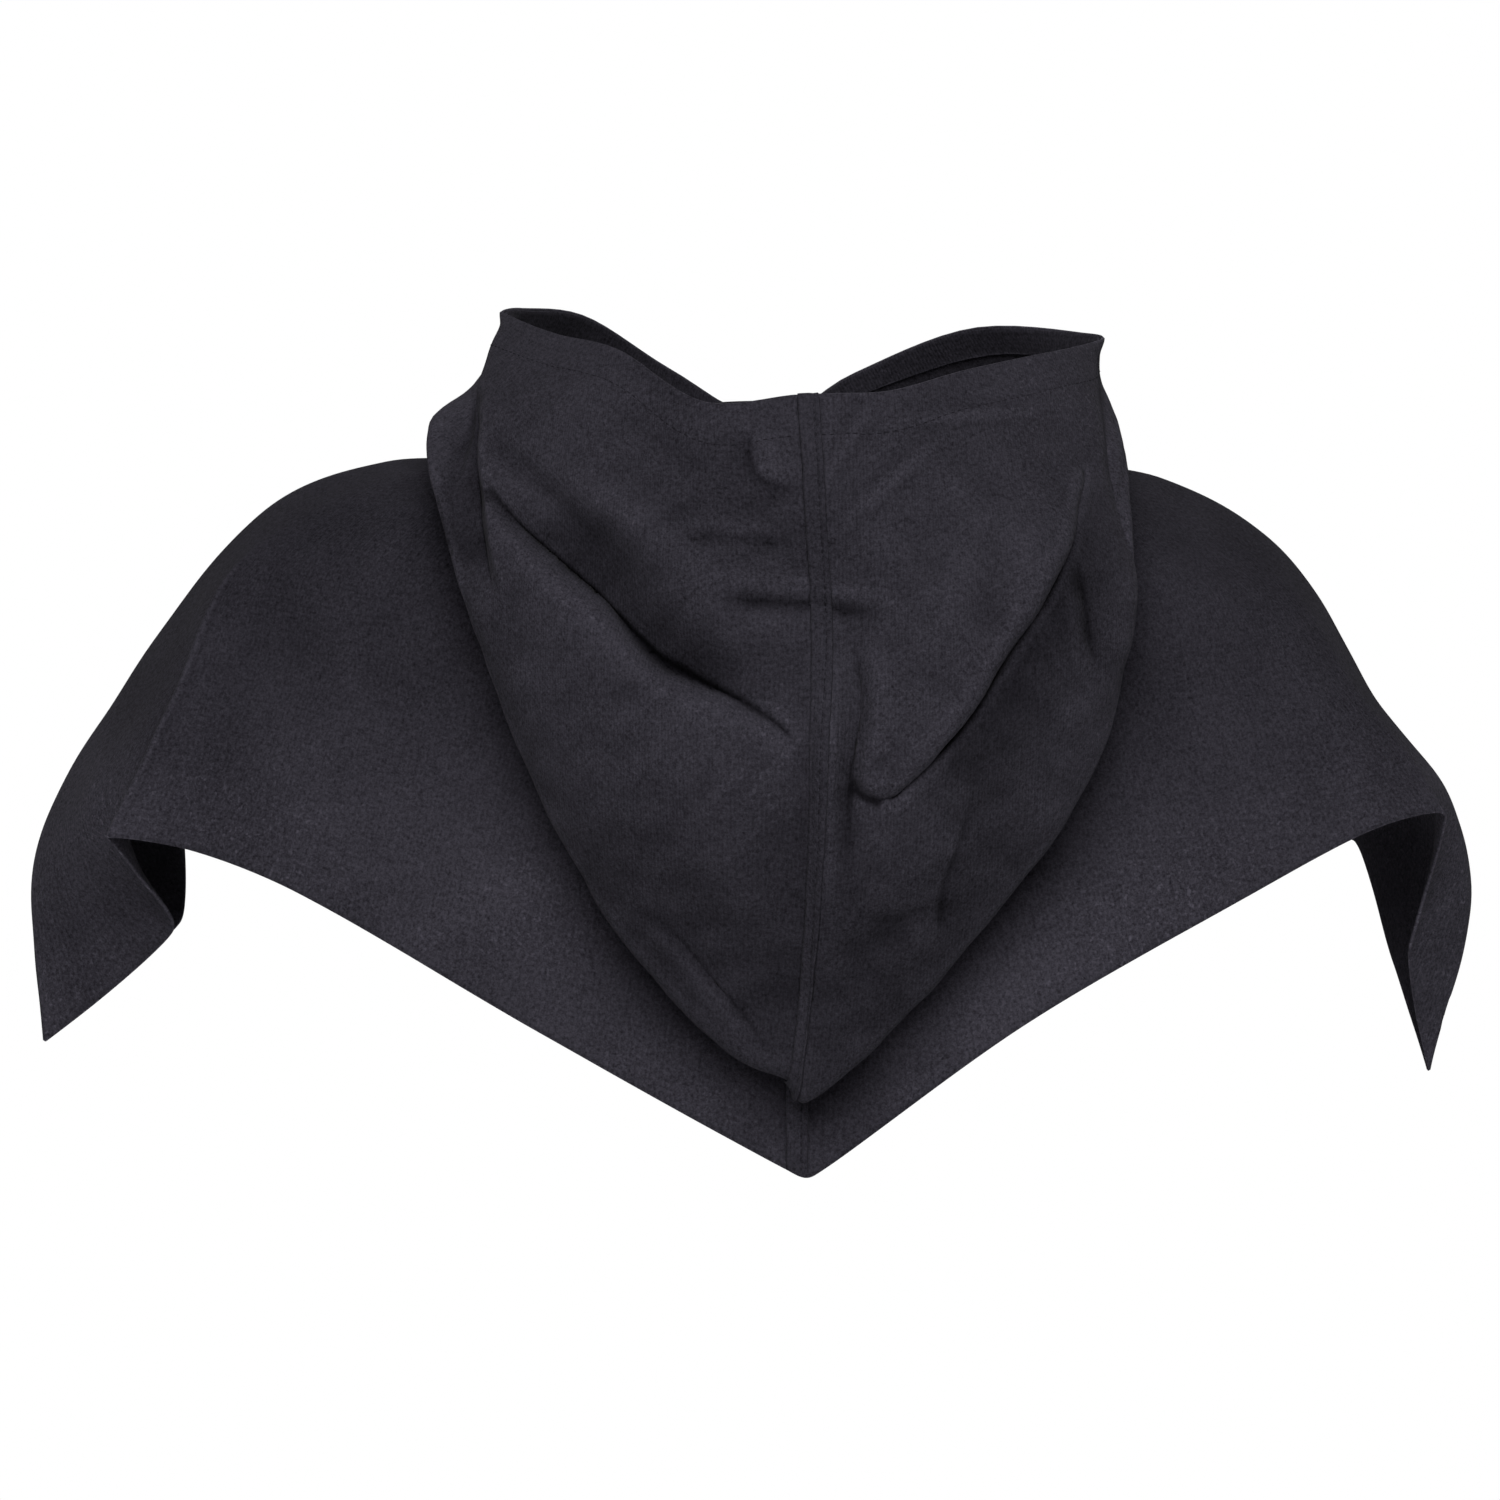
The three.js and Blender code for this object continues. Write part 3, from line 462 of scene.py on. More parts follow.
def hood_section(row):
    _, rim_share, (bag_turn, bag_down), neck_turn, face, swell, slack = row
    rim_depth = RIM_BACK if rim_share[1] < 0 else RIM_FRONT
    rim = np.array([rim_share[0] * HOOD_HALF_WIDTH, rim_share[1] * rim_depth, rim_share[2] * RIM_RISE])
    neck = neck_point(neck_turn, GAP / 2)
    outward = np.array([math.sin(math.radians(face)), -math.cos(math.radians(face)), 0])
    up = np.array([0, 0, 1.0])
    clearance = BAG_CLEARANCE * slack
    edge = over_cape(bag_turn, bag_down, clearance + BAG_FOLD_RADIUS)
    outer = edge + up * BAG_FOLD_RADIUS + outward * BAG_FOLD_RADIUS
    inner = edge + up * BAG_FOLD_RADIUS - outward * BAG_FOLD_RADIUS
    nape = neck + up * NAPE_STAND + outward * NAPE_LEAN
    points = [rim]
    points += [
        mix(rim, outer, share) + outward * bulge * BAG_SWELL for share, bulge in zip(OUTER_LAYER, swell)
    ]
    points += [outer, edge, inner]
    points += [
        over_cape(mix(bag_turn, neck_turn, share), bag_down * (1 - share), clearance)
        for share in UNDER_LAYER
    ]
    points += [nape, neck]
    return [mix(mix(rim, neck, stop), point, slack) for point, stop in zip(points, HOOD_STOPS)]


hood = Surface(
    [row[0] for row in HOOD_ROWS],
    np.ones(len(HOOD_ROWS)),
    [hood_section(row) for row in HOOD_ROWS],
    HOOD_STOPS,
)


def smooth(low, high, value):
    u = np.clip((value - low) / (high - low), 0, 1)
    return u * u * (3 - 2 * u)


def bell(distance, reach):
    return np.exp(-((distance / reach) ** 2))


def lengths_along(points, axis):
    """How far each point is along its row of a grid, from the row's first point."""
    steps = np.cumsum(np.linalg.norm(np.diff(points, axis=axis), axis=-1), axis=axis)
    ahead = [(0, 0)] * steps.ndim
    ahead[axis] = (1, 0)
    return np.pad(steps, ahead)


def stretches(breaks, counts):
    """Values from the first break to the last, with a count of even steps in each stretch."""
    parts = [np.linspace(a, b, n + 1)[:-1] for a, b, n in zip(breaks[:-1], breaks[1:], counts)]
    return np.concatenate(parts + [[breaks[-1]]])


def even_downs(surface, turns, breaks, counts):
    """Downs that are even along each section between the breaks."""
    fine = stretches(breaks, [59] * len(counts))
    lengths = lengths_along(surface.at(turns, np.tile(fine, (len(turns), 1))), 1)
    out = np.empty((len(turns), sum(counts) + 1))
    ends = [int(np.searchsorted(fine, b)) for b in breaks]
    for n in range(len(turns)):
        start = 0
        for count, i, j in zip(counts, ends[:-1], ends[1:]):
            wanted = np.linspace(lengths[n, i], lengths[n, j], count + 1)
            out[n, start:start + count + 1] = np.interp(wanted, lengths[n, i:j + 1], fine[i:j + 1])
            start += count
    return out


def normals_of(grid):
    """The way each point of a grid faces, outward."""
    across = np.gradient(grid, axis=0)
    down = np.gradient(grid, axis=1)
    ways = np.cross(down, across)
    return ways / np.maximum(np.linalg.norm(ways, axis=2, keepdims=True), 1e-12)


def along_line(flat, line):
    """Signed distance of points from a line, left of it positive, share along, and the way across it."""
    line = np.array(line, float) * (HOOD_HALF_WIDTH, BACK_LENGTH)
    fine = np.linspace(0, len(line) - 1, LINE_STEPS * (len(line) - 1) + 1)
    stops = np.arange(len(line), dtype=float)
    padded = np.column_stack([line, np.zeros(len(line))])
    slopes = hermite(stops, padded, np.ones(len(line)), False)
    i = np.clip(fine.astype(int), 0, len(line) - 2)
    u = (fine - i)[:, None]
    line = blended(padded[i], slopes[i], padded[i + 1], slopes[i + 1], 1.0, u)[:, :2]
    lengths = lengths_along(line, 0)
    best = np.full(len(flat), 1e9)
    side = np.zeros(len(flat))
    share = np.zeros(len(flat))
    ways = np.zeros((len(flat), 2))
    for k in range(len(line) - 1):
        leg = line[k + 1] - line[k]
        size = leg @ leg
        raw = (flat - line[k]) @ leg / size
        held = np.clip(raw, 0, 1)
        off = flat - line[k] - held[:, None] * leg
        distance = np.linalg.norm(off, axis=1)
        near = distance < best
        best[near] = distance[near]
        left = leg[0] * off[:, 1] - leg[1] * off[:, 0]
        side[near] = np.where(left[near] >= 0, 1.0, -1.0)
        share[near] = (lengths[k] + held[near] * math.sqrt(size)) / lengths[-1]
        ways[near] = np.array([-leg[1], leg[0]]) / math.sqrt(size)
    return best * side, share, ways


def ripple(points, size, seed):
    """Gentle uneven swell of about -1 to 1, with waves around the given size."""
    random = np.random.default_rng(seed)
    total = np.zeros(points.shape[:-1])
    for _ in range(WAVES):
        way = random.normal(size=3)
        way /= np.linalg.norm(way)
        length = size * random.uniform(0.6, 1.7)
        total += np.sin(points @ way * (2 * math.pi / length) + random.uniform(0, 2 * math.pi))
    return total / 4


def pull_in(flat, pulls):
    """How far points are pulled along X towards the middle."""
    total = np.zeros(len(flat))
    for side, start, whole, height, reach, amount in pulls:
        total -= side * amount * smooth(start, whole, side * flat[:, 0]) * bell(flat[:, 1] - height, reach)
    return total


def fold_hood(grid, turns, downs):
    """The hood's grid with its folds, and the painted shade under the folds at each of its points."""
    turn = np.abs(turns)[:, None]
    outer = smooth(*FOLDS_FROM, downs) * (1 - smooth(*FOLDS_TO, downs)) * (1 - smooth(*FOLDS_ROUND, turn))
    flat = grid[..., (0, 2)].reshape(-1, 2)
    weight = outer.reshape(-1)
    out = np.zeros(len(flat))
    slide = np.zeros((len(flat), 2))
    painted_shade = np.zeros(len(flat))
    pick = weight > 0
    for line, sizes in FOLDS:
        fold = dict(zip(FOLD_COLUMNS, sizes))
        distance, share, ways = along_line(flat[pick], line)
        distance = distance * 1000
        start, end = fold["fade"]
        ends = smooth(0, start, share) * (1 - smooth(1 - end, 1, share))
        rise = smooth(0, max(start, FOLD_FADE), share) * (1 - smooth(1 - max(end, FOLD_FADE), 1, share))
        over = np.maximum(distance, 0)
        under = np.maximum(-distance, 0)
        lip = fold["lip"] * bell(over, fold["reach"]) * (1 - bell(over, fold["nose"]))
        sink = fold["sink"] * bell(under, fold["under"]) * (1 - bell(under, SINK_START))
        crease = fold["crease"] * bell(distance, CREASE_REACH)
        out[pick] += (rise * np.where(distance > 0, lip, -sink) - ends * crease) / 1000
        # painted shade on the cloth under each lip
        painted_shade[pick] += rise * fold["shade"] * bell(under, SHADE_REACH) * (1 - bell(under, SHADE_START))
        tuck = fold["tuck"] * bell(over - TUCK_PLACE, TUCK_REACH) * smooth(*TUCK_EDGE, distance)
        slide[pick] -= ways * (ends * tuck / 1000)[:, None]
    for (across, up), long, wide, way, height in MOUNDS:
        centre = np.array([across * HOOD_HALF_WIDTH, up * BACK_LENGTH])
        angle = math.radians(way)
        axis = np.array([math.cos(angle), math.sin(angle)])
        off = (flat[pick] - centre) * 1000
        a = off @ axis / long
        b = (off @ np.array([-axis[1], axis[0]])) / wide
        out[pick] += np.exp(-(a * a + b * b)) * height / 1000
    slide[:, 0] += pull_in(flat, SIDE_PULLS)
    out *= weight
    slide *= weight[:, None]
    behind = (1 - smooth(*PULLS_ROUND, turn)).repeat(grid.shape[1], 1).reshape(-1)
    slide[:, 0] += pull_in(flat, CORNER_PULLS) * behind
    blend = normals_of(grid).reshape(-1, 3) * FOLD_LEAN + np.array([0, -1, 0]) * (1 - FOLD_LEAN)
    blend /= np.linalg.norm(blend, axis=1, keepdims=True)
    shift = blend * out[:, None]
    shift[:, (0, 2)] += slide
    shift = shift.reshape(grid.shape)
    shift[1:-1, 1:-1] = (
        FOLD_CALM * shift[1:-1, 1:-1]
        + (1 - FOLD_CALM) / 4 * (shift[2:, 1:-1] + shift[:-2, 1:-1] + shift[1:-1, 2:] + shift[1:-1, :-2])
    )
    return grid + shift, (painted_shade * weight).reshape(grid.shape[:2])


def relief_painted_light(grid, fade, reaches):
    """Painted highlight on crests, painted shade in creases: how far each point stands out of its
    surroundings.
    """
    ways = normals_of(grid)
    columns, rows = grid.shape[:2]
    total = np.zeros((columns, rows))
    for reach, strength in reaches:
        around = ((reach, reach), (reach, reach), (0, 0))
        padded = np.pad(grid, around, mode="reflect", reflect_type="odd")
        mean = np.zeros_like(grid)
        for i, j in ((0, 1), (2, 1), (1, 0), (1, 2)):
            mean += padded[i * reach:i * reach + columns, j * reach:j * reach + rows] / 4
        total += np.einsum("ijk,ijk->ij", grid - mean, ways) * 1000 * strength
    return np.clip(total, *RELIEF_LIMITS) + fade


def mesh_object(name, vertices, faces, uvs=None):
    mesh = bpy.data.meshes.new(name)
    mesh.from_pydata(np.asarray(vertices).tolist(), [], faces)
    if uvs is not None:
        layer = mesh.uv_layers.new(name="cloth")
        corners = np.empty(len(mesh.loops), np.int32)
        mesh.loops.foreach_get("vertex_index", corners)
        layer.data.foreach_set("uv", np.asarray(uvs, np.float32)[corners].reshape(-1))
    mesh.polygons.foreach_set("use_smooth", np.ones(len(mesh.polygons), bool))
    mesh.validate()
    mesh.update()
    piece = bpy.data.objects.new(name, mesh)
    bpy.context.scene.collection.objects.link(piece)
    return piece


def cloth_coordinates(grid):
    """Metres across and down the cloth at each point of a grid."""
    across = np.linalg.norm(np.diff(grid, axis=0), axis=2).mean(axis=1)
    down = np.linalg.norm(np.diff(grid, axis=1), axis=2).mean(axis=0)
    u = np.concatenate([[0], np.cumsum(across)])
    v = np.concatenate([[0], np.cumsum(down)])
    return np.stack(np.meshgrid(u, v, indexing="ij"), axis=2)


def sheet_object(name, grid, thickness, ways, wear_and_shade=None):
    """A closed sheet of cloth over a grid of middle points, with rounded edges."""
    uv = cloth_coordinates(grid).reshape(-1, 2)
    columns, rows = grid.shape[:2]
    outer = grid + ways * (thickness / 2)
    inner = grid - ways * (thickness / 2)
    count = columns * rows
    index = np.arange(count).reshape(columns, rows)
    a, b, c, d = index[:-1, :-1], index[1:, :-1], index[1:, 1:], index[:-1, 1:]
    front = np.stack([a, d, c, b], axis=-1).reshape(-1, 4)
    back = np.stack([a, b, c, d], axis=-1).reshape(-1, 4) + count
    rim = np.concatenate([index[:, 0], index[-1, 1:], index[-2::-1, -1], index[0, -2:0:-1]])
    inside = grid.copy()
    inside[0], inside[-1] = grid[1], grid[-2]
    inside[:, 0], inside[:, -1] = inside[:, 1], inside[:, -2]
    push = (grid - inside).reshape(-1, 3)[rim]
    push /= np.maximum(np.linalg.norm(push, axis=1, keepdims=True), 1e-9)
    edge = grid.reshape(-1, 3)[rim] + push * thickness * 0.4
    along = np.arange(len(rim)) + 2 * count
    after = np.roll(along, -1)
    next_rim = np.roll(rim, -1)
    side_a = np.stack([rim, next_rim, after, along], axis=1)
    side_b = np.stack([along, after, next_rim + count, rim + count], axis=1)
    vertices = np.concatenate([outer.reshape(-1, 3), inner.reshape(-1, 3), edge])
    faces = np.concatenate([front, back, side_a, side_b]).tolist()
    piece = mesh_object(name, vertices, faces, np.concatenate([uv, uv, uv[rim]]))
    # inner faces take the darker copy, painted shade
    faces_in = np.zeros(len(faces), np.int32)
    faces_in[len(front):len(front) + len(back)] = 1
    piece.data.polygons.foreach_set("material_index", faces_in)
    # the outer side takes the wear and the painted light and shade, the inner side none, the edges more wear
    if wear_and_shade is not None:
        layer = piece.data.attributes.new("wear_and_shade", "FLOAT", "POINT")
        worn_and_shaded = wear_and_shade.reshape(-1)
        values = np.concatenate([worn_and_shaded, np.zeros(count), worn_and_shaded[rim] + EDGE_WEAR])
        layer.data.foreach_set("value", values.astype(np.float32))
    return piece


def half_turns(side, breaks, counts):
    turns = stretches(breaks, counts)
    return turns if side > 0 else -turns[::-1]


def cape_half(side):
    turns = half_turns(side, *CAPE_TURNS)
    downs = even_downs(cape, turns, *CAPE_DOWNS)
    away = np.abs(turns)[:, None]
    high = 1 - smooth(*SHOULDER_DOWNS, downs)[..., None]
    over_arm = smooth(*SHOULDER_TURNS, away)[..., None]
    grid = mix(cape.at(turns, downs), rounded_cape.at(turns, downs), high * over_arm)
    ways = normals_of(grid)
    loose = smooth(*CAPE_BELOW_NECK, downs)
    loose = loose * smooth(*CAPE_FROM_BACK_SEAM, away) * smooth(*CAPE_FROM_FRONT_SEAM, away)
    swell = sum(ripple(grid, size, seed) * height for size, height, seed in CAPE_SWELLS) * loose
    grid = grid + ways * swell[..., None]
    pressed = bell(turns - PRESSED_TURN, PRESSED_WIDTH)[:, None] * smooth(*PRESSED_START, downs)
    return grid + ways * (PRESSED_HEIGHT * pressed)[..., None]


def hood_half(side):
    turns = half_turns(side, *HOOD_TURNS)
    downs = even_downs(hood, turns, *HOOD_DOWNS)
    grid, painted_shade = fold_hood(hood.at(turns, downs), turns, downs)
    off_seam = mix(SEAM_SWELL, 1, smooth(*HOOD_FROM_SEAM, np.abs(turns)))[:, None]
    loose = smooth(*HOOD_BELOW_RIM, downs) * smooth(*HOOD_BEFORE_NECK, downs)
    wide, fine = [ripple(grid, size, seed) * height for size, height, seed in HOOD_SWELLS]
    grid = grid + normals_of(grid) * ((wide * off_seam + fine) * loose)[..., None]
    return grid, painted_shade


def on_seam(grid, side):
    """Ways that a half's cloth is thickened in, level across the middle seams."""
    ways = normals_of(grid)
    for column in (0, -1):
        ways[column, :, 0] = 0
        ways[column] /= np.linalg.norm(ways[column], axis=1, keepdims=True)
    grid[0, :, 0] += side * GAP / 2
    grid[-1, :, 0] += side * GAP / 2
    return ways


def strip_beside(grid, distances):
    """Points of a grid at distances from its first column, one column for each distance."""
    near = grid[:NEAR_SEAM]
    lengths = lengths_along(near, 0)
    out = np.empty((len(distances), grid.shape[1], 3))
    for row in range(grid.shape[1]):
        for k in range(3):
            out[:, row, k] = np.interp(distances, lengths[:, row], near[:, row, k])
    return out


def stitches(name, path, ways, sizes):
    """Short raised threads along a path, each dipping into the cloth at its ends."""
    pitch, long, thick = sizes
    lengths = lengths_along(path, 0)
    rings, sides = 5, 6
    vertices, faces = [], []
    for start in np.arange(pitch, lengths[-1] - pitch, pitch):
        at = start + np.linspace(0, long, rings)
        middle = np.column_stack([np.interp(at, lengths, path[:, k]) for k in range(3)])
        way = np.array([np.interp(start, lengths, ways[:, k]) for k in range(3)])
        way /= np.linalg.norm(way)
        forward = middle[-1] - middle[0]
        forward /= np.linalg.norm(forward)
        across = np.cross(forward, way)
        base = len(vertices)
        for ring, u in enumerate(np.linspace(-1, 1, rings)):
            radius = thick / 2 * math.sqrt(1 - THREAD_TAPER * u * u)
            centre = middle[ring] + way * thick * (THREAD_RISE * (1 - u * u) - THREAD_SINK)
            for side in range(sides):
                angle = 2 * math.pi * side / sides
                vertices.append(centre + (across * math.cos(angle) + way * math.sin(angle)) * radius)
        for ring in range(rings - 1):
            low = base + ring * sides
            for side in range(sides):
                after = (side + 1) % sides
                faces.append([low + side, low + after, low + sides + after, low + sides + side])
        faces.append([base + side for side in range(sides)][::-1])
        faces.append([base + (rings - 1) * sides + side for side in range(sides)])
    return mesh_object(name, vertices, faces)


def canvas(name, colour, bump):
    """Matt woven canvas with paler flecks and soft blotches."""
    made = bpy.data.materials.new(name)
    made.use_nodes = True
    nodes = made.node_tree.nodes
    links = made.node_tree.links
    nodes.clear()
    output = nodes.new("ShaderNodeOutputMaterial")
    shader = nodes.new("ShaderNodeBsdfPrincipled")
    links.new(shader.outputs["BSDF"], output.inputs["Surface"])
    shader.inputs["Roughness"].default_value = 0.95
    shader.inputs["Specular IOR Level"].default_value = 0
    shader.inputs["Sheen Weight"].default_value = 0.012
    shader.inputs["Sheen Roughness"].default_value = 0.5
    along_cloth = nodes.new("ShaderNodeUVMap")
    along_cloth.uv_map = "cloth"
    solid = nodes.new("ShaderNodeTexCoord")

    def noise(scale, detail):
        node = nodes.new("ShaderNodeTexNoise")
        node.inputs["Scale"].default_value = scale
        node.inputs["Detail"].default_value = detail
        links.new(solid.outputs["Object"], node.inputs["Vector"])
        return node.outputs["Fac"]

    def math_node(kind, a, b):
        node = nodes.new("ShaderNodeMath")
        node.operation = kind
        for socket, value in zip(node.inputs, (a, b)):
            if isinstance(value, (int, float)):
                socket.default_value = value
            else:
                links.new(value, socket)
        return node.outputs[0]

    def total(values, shares):
        """Sum of values, each times its share."""
        scaled = [math_node("MULTIPLY", value, share) for value, share in zip(values, shares)]
        out = scaled[0]
        for value in scaled[1:]:
            out = math_node("ADD", out, value)
        return out

    def span(value, low, high, new_low, new_high):
        node = nodes.new("ShaderNodeMapRange")
        links.new(value, node.inputs["Value"])
        node.inputs["From Min"].default_value = low
        node.inputs["From Max"].default_value = high
        node.inputs["To Min"].default_value = new_low
        node.inputs["To Max"].default_value = new_high
        return node.outputs["Result"]

    def threads(direction, pitch):
        node = nodes.new("ShaderNodeTexWave")
        node.bands_direction = direction
        node.inputs["Scale"].default_value = WAVE_SCALE / pitch
        node.inputs["Distortion"].default_value = 3.5
        node.inputs["Detail"].default_value = 3
        node.inputs["Detail Scale"].default_value = 2.2
        links.new(along_cloth.outputs["UV"], node.inputs["Vector"])
        return node.outputs["Fac"]

    # the wear and the painted light and shade, from the cloth's attribute, scale the colour and the flecks
    attribute = nodes.new("ShaderNodeAttribute")
    attribute.attribute_name = "wear_and_shade"
    wear_and_shade = attribute.outputs["Fac"]
    weave = total((threads("X", WARP_PITCH), threads("Y", WEFT_PITCH)), (WARP_SHARE, 1 - WARP_SHARE))
    fuzz = noise(*FUZZ)
    patches = span(noise(*PATCH), *PATCH_SPAN)
    patches = math_node("ADD", patches, math_node("MULTIPLY", wear_and_shade, FLECKS_BY_WEAR_AND_SHADE))
    flecks = math_node("MULTIPLY", span(noise(*FLECK), *FLECK_SPAN), patches)
    height = total((weave, fuzz), HEIGHT_SHARES)
    tone = total((weave, fuzz, noise(*GRAIN), noise(*BLOTCH), flecks), TONE_SHARES)
    ramp = nodes.new("ShaderNodeValToRGB")
    for element, place, share in zip(ramp.color_ramp.elements, (0, 1), (DARKEST, PALEST)):
        element.position = place
        element.color = (*[c * share for c in colour], 1)
    links.new(span(tone, *TONE_SPAN), ramp.inputs["Fac"])
    worn_and_shaded = nodes.new("ShaderNodeVectorMath")
    worn_and_shaded.operation = "SCALE"
    links.new(ramp.outputs["Color"], worn_and_shaded.inputs[0])
    links.new(math_node("ADD", wear_and_shade, 1.0), worn_and_shaded.inputs["Scale"])
    links.new(worn_and_shaded.outputs["Vector"], shader.inputs["Base Color"])
    bumped = nodes.new("ShaderNodeBump")
    bumped.inputs["Strength"].default_value = bump
    bumped.inputs["Distance"].default_value = BUMP_HEIGHT
    links.new(height, bumped.inputs["Height"])
    links.new(bumped.outputs["Normal"], shader.inputs["Normal"])
    return made


cloth = canvas("canvas", CLOTH_COLOUR, CLOTH_BUMP)
# darker copy of the canvas for the cloth's inner side, painted shade
cloth_inside_shaded = canvas("canvas_inside_shaded", [c * INSIDE_SHADE_SHARE for c in CLOTH_COLOUR], CLOTH_BUMP)
thread = canvas("thread", [c * THREAD_SHARE for c in CLOTH_COLOUR], THREAD_BUMP)


def put_on(piece, material, node=None):
    """A piece with its material, body and slot, and the node that it takes the place of."""
    piece.data.materials.append(material)
    if material is cloth:
        piece.data.materials.append(cloth_inside_shaded)
    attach(piece, "root")
    if node:
        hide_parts(node)
    return piece


def cape_tone_and_painted_light(grid):
    """The cape is paler low down, with painted shade round the neck and a painted shadow beside the bag."""
    across, depth, up = grid[..., 0], grid[..., 1], grid[..., 2]
    low_paler = CAPE_LOW_PALER * smooth(*CAPE_LOW_RANGE, up) * mix(ripple(grid, *CAPE_LOW_PATCHES), 1, CAPE_LOW_EVEN)
    edge = hood.at(BAG_EDGE_TURNS, np.full((len(BAG_EDGE_TURNS), 1), BAG_EDGE_DOWN))[:, 0][:, (0, 2)]
    flat = grid[..., (0, 2)].reshape(-1, 2)
    away = np.linalg.norm(flat[:, None] - edge[None], axis=2).min(axis=1).reshape(up.shape)
    beneath = np.interp(across, edge[:, 0], edge[:, 1]) < up
    within = beneath & (across > edge[:, 0].min()) & (across < edge[:, 0].max())
    # painted shadow of the bag on the cape
    painted_shade = (BAG_PAINTED_SHADOW + BAG_SHADOW_LOW * smooth(*BAG_SHADOW_RANGE, up)) * (depth < 0)
    painted_shade = painted_shade * np.where(within, 1, bell(away, BAG_SHADOW_REACH))
    return relief_painted_light(grid, low_paler - NECK_PAINTED_SHADE * smooth(*NECK_SHADE_RANGE, up) - painted_shade, CAPE_RELIEF)


def hood_tone_and_painted_light(grid, painted_shade):
    """Painted shade low on the hood and under its folds, painted highlight on the turnings by the crown seam.
    """
    across, depth, up = grid[..., 0], grid[..., 1], grid[..., 2]
    # painted highlight on the turnings beside the crown seam
    stiff_highlight = bell(across - STIFF_PLACE, STIFF_WIDTH) * smooth(*STIFF_START, up)
    stiff_highlight = stiff_highlight * (1 - smooth(*STIFF_END, up)) * (depth < 0)
    # a paler hood with that painted highlight and painted shade low down
    fade = HOOD_PALER + STIFF_PAINTED_HIGHLIGHT * stiff_highlight - HOOD_LOW_PAINTED_SHADE * smooth(*HOOD_SHADE_RANGE, up)
    return relief_painted_light(grid, fade - painted_shade, HOOD_RELIEF)


cape_left, cape_right = cape_half(LEFT), cape_half(RIGHT)
hood_left, painted_shade_left = hood_half(LEFT)
hood_right, painted_shade_right = hood_half(RIGHT)
cape_left_ways = on_seam(cape_left, LEFT)
cape_right_ways = on_seam(cape_right, RIGHT)
hood_left_ways = on_seam(hood_left, LEFT)
hood_right_ways = on_seam(hood_right, RIGHT)


def half_cloth(node, grid, ways, wear_and_shade):
    return put_on(sheet_object(node + "_cloth", grid, CLOTH, ways, wear_and_shade), cloth, node)


# each half's cloth takes its wear and its painted light and shade
cape_left_cloth = half_cloth("cape_left", cape_left, cape_left_ways, cape_tone_and_painted_light(cape_left))
cape_right_cloth = half_cloth("cape_right", cape_right, cape_right_ways, cape_tone_and_painted_light(cape_right))
hood_left_cloth = half_cloth("hood_left", hood_left, hood_left_ways, hood_tone_and_painted_light(hood_left, painted_shade_left))
hood_right_cloth = half_cloth("hood_right", hood_right, hood_right_ways, hood_tone_and_painted_light(hood_right, painted_shade_right))


def seam_band(name, grid, node):
    """A felled band beside a middle seam, pulled in along its stitching."""
    strip = strip_beside(grid, BAND_STEPS)
    ways = normals_of(strip)
    offset = CLOTH / 2 + GAP + SEAM_THICKNESS / 2 - SEAM_PULL * bell(BAND_STEPS - SEAM_LINE, SEAM_LINE_WIDTH)
    middle = strip + ways * offset[:, None, None]
    band = put_on(sheet_object(name, middle, SEAM_THICKNESS, ways), cloth, node)
    sewn_ways = ways[BAND_STITCHED]
    line = middle[BAND_STITCHED] + sewn_ways * (SEAM_THICKNESS / 2)
    return band, put_on(stitches(name + "_stitches", line, sewn_ways, SEAM_STITCH), thread)


crown_band, crown_sewn = seam_band("crown_band", hood_right, "crown_seam")
back_band, back_sewn = seam_band("cape_back_band", cape_right, "cape_back_seam")


def rim_hem(name, grid, ways, node):
    """The turned-in hem of the face opening, inside the cloth, and its stitching outside."""
    near, facing = grid[:, :NEAR_RIM], ways[:, :NEAR_RIM]
    lengths = lengths_along(near, 1)

    def at_depth(values, depths):
        found = [
            [np.interp(depths, along, row[:, k]) for k in range(3)] for along, row in zip(lengths, values)
        ]
        return np.moveaxis(np.array(found), 1, -1)

    hem_ways = at_depth(facing, HEM_STEPS)
    middle = at_depth(near, HEM_STEPS) - hem_ways * (CLOTH / 2 + GAP + RIM_HEM_THICKNESS / 2)
    hem = put_on(sheet_object(name, middle, RIM_HEM_THICKNESS, hem_ways), cloth, node)
    outward = at_depth(facing, HEM_LINE)
    line = at_depth(near, HEM_LINE) + outward * (CLOTH / 2)
    return hem, put_on(stitches(name + "_stitches", line[2:-2], outward[2:-2], HEM_STITCH), thread)


hem_left, hem_left_sewn = rim_hem("rim_hem_left_cloth", hood_left, hood_left_ways, "rim_hem_left")
hem_right, hem_right_sewn = rim_hem("rim_hem_right_cloth", hood_right, hood_right_ways, "rim_hem_right")

# Floor, light and camera
FLOOR = -1.45
FLOOR_RADIUS = 5
SURROUND_RADIUS = 30
SKY_STRENGTH = 0.11
SUNS = [("key", 0, 40, 4.25, 45), ("fill", 180, 40, 1.3, 60)]  # name, azimuth, elevation, strength, spread
FRAME_WIDTH = 0.645  # what the frame takes in at the origin
CAMERA_DISTANCE = 3.5
CAMERA_RISE = math.radians(3)
TARGET = Vector((-0.011, 0, -0.131))
SENSOR_WIDTH = 36

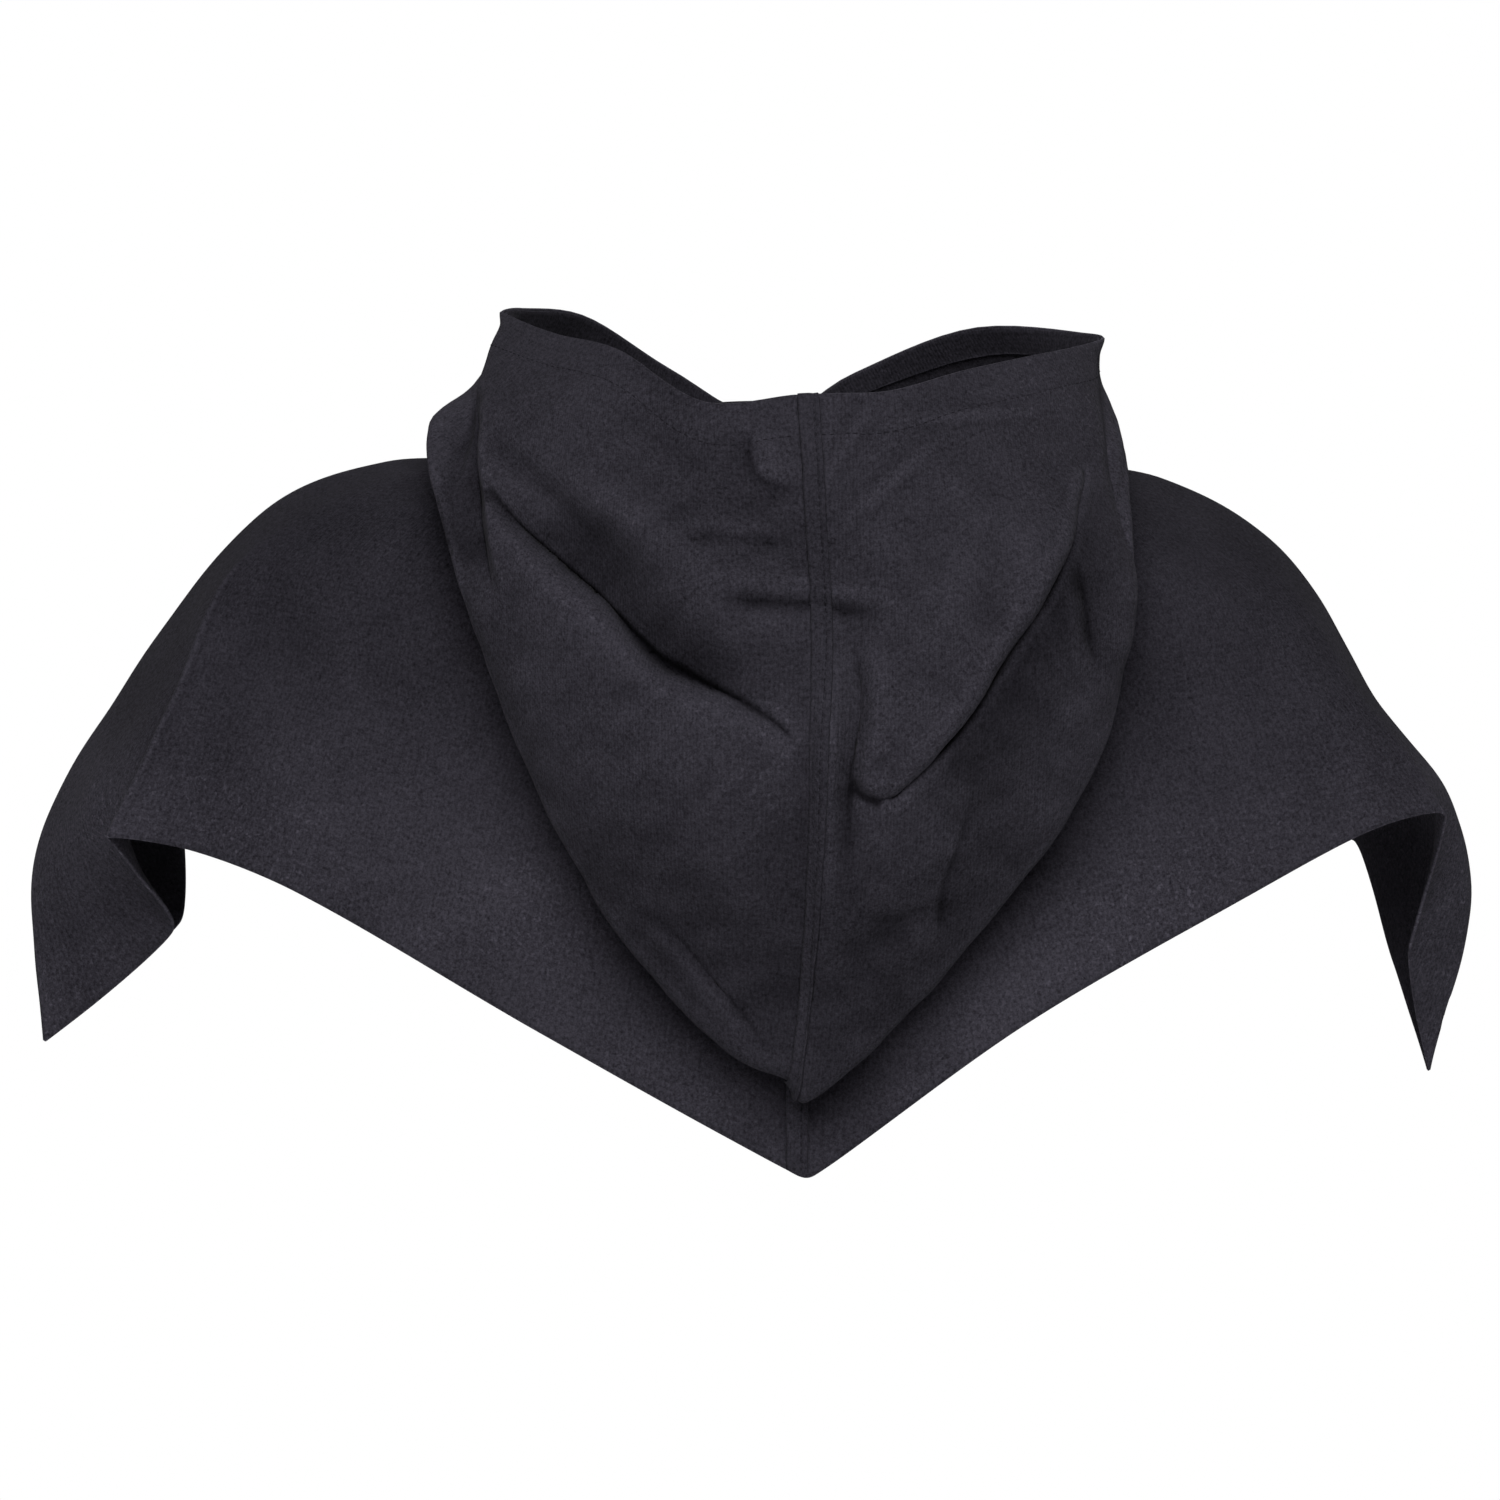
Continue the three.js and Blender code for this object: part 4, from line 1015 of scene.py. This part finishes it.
bpy.ops.mesh.primitive_circle_add(vertices=96, radius=FLOOR_RADIUS, fill_type="NGON", location=(0, 0, FLOOR))
floor = bpy.context.object
floor.name = "floor"
pale = bpy.data.materials.new("pale")
pale.use_nodes = True
pale.node_tree.nodes["Principled BSDF"].inputs["Base Color"].default_value = (0.9, 0.9, 0.9, 1)
pale.node_tree.nodes["Principled BSDF"].inputs["Roughness"].default_value = 0.9
floor.data.materials.append(pale)

# White surround, which only the camera sees
bpy.ops.mesh.primitive_uv_sphere_add(segments=64, ring_count=32, radius=SURROUND_RADIUS)
surround = bpy.context.object
surround.name = "surround"
white = bpy.data.materials.new("white")
white.use_nodes = True
white.node_tree.nodes.clear()
glow = white.node_tree.nodes.new("ShaderNodeEmission")
shown = white.node_tree.nodes.new("ShaderNodeOutputMaterial")
white.node_tree.links.new(glow.outputs["Emission"], shown.inputs["Surface"])
surround.data.materials.append(white)
surround.visible_diffuse = False
surround.visible_glossy = False
surround.visible_transmission = False
surround.visible_shadow = False

world = bpy.data.worlds.new("studio")
world.use_nodes = True
world.node_tree.nodes["Background"].inputs["Color"].default_value = (1, 1, 1, 1)
world.node_tree.nodes["Background"].inputs["Strength"].default_value = SKY_STRENGTH
bpy.context.scene.world = world
bpy.context.scene.view_settings.view_transform = "Standard"

for name, azimuth, elevation, strength, spread in SUNS:
    lamp = bpy.data.lights.new(name, "SUN")
    lamp.energy = strength
    lamp.angle = math.radians(spread)
    light = bpy.data.objects.new(name, lamp)
    bpy.context.scene.collection.objects.link(light)
    a, e = math.radians(azimuth), math.radians(elevation)
    way = Vector((-math.sin(a) * math.cos(e), math.cos(a) * math.cos(e), -math.sin(e)))
    light.rotation_euler = way.to_track_quat("-Z", "Y").to_euler()

camera_data = bpy.data.cameras.new("camera")
camera_data.sensor_width = SENSOR_WIDTH
camera_data.lens = SENSOR_WIDTH * CAMERA_DISTANCE / FRAME_WIDTH
camera_data.clip_end = 100
camera = bpy.data.objects.new("camera", camera_data)
bpy.context.scene.collection.objects.link(camera)
camera.location = TARGET + Vector((0, -math.cos(CAMERA_RISE), math.sin(CAMERA_RISE))) * CAMERA_DISTANCE
camera.rotation_euler = (math.pi / 2 - CAMERA_RISE, 0, 0)
bpy.context.scene.camera = camera
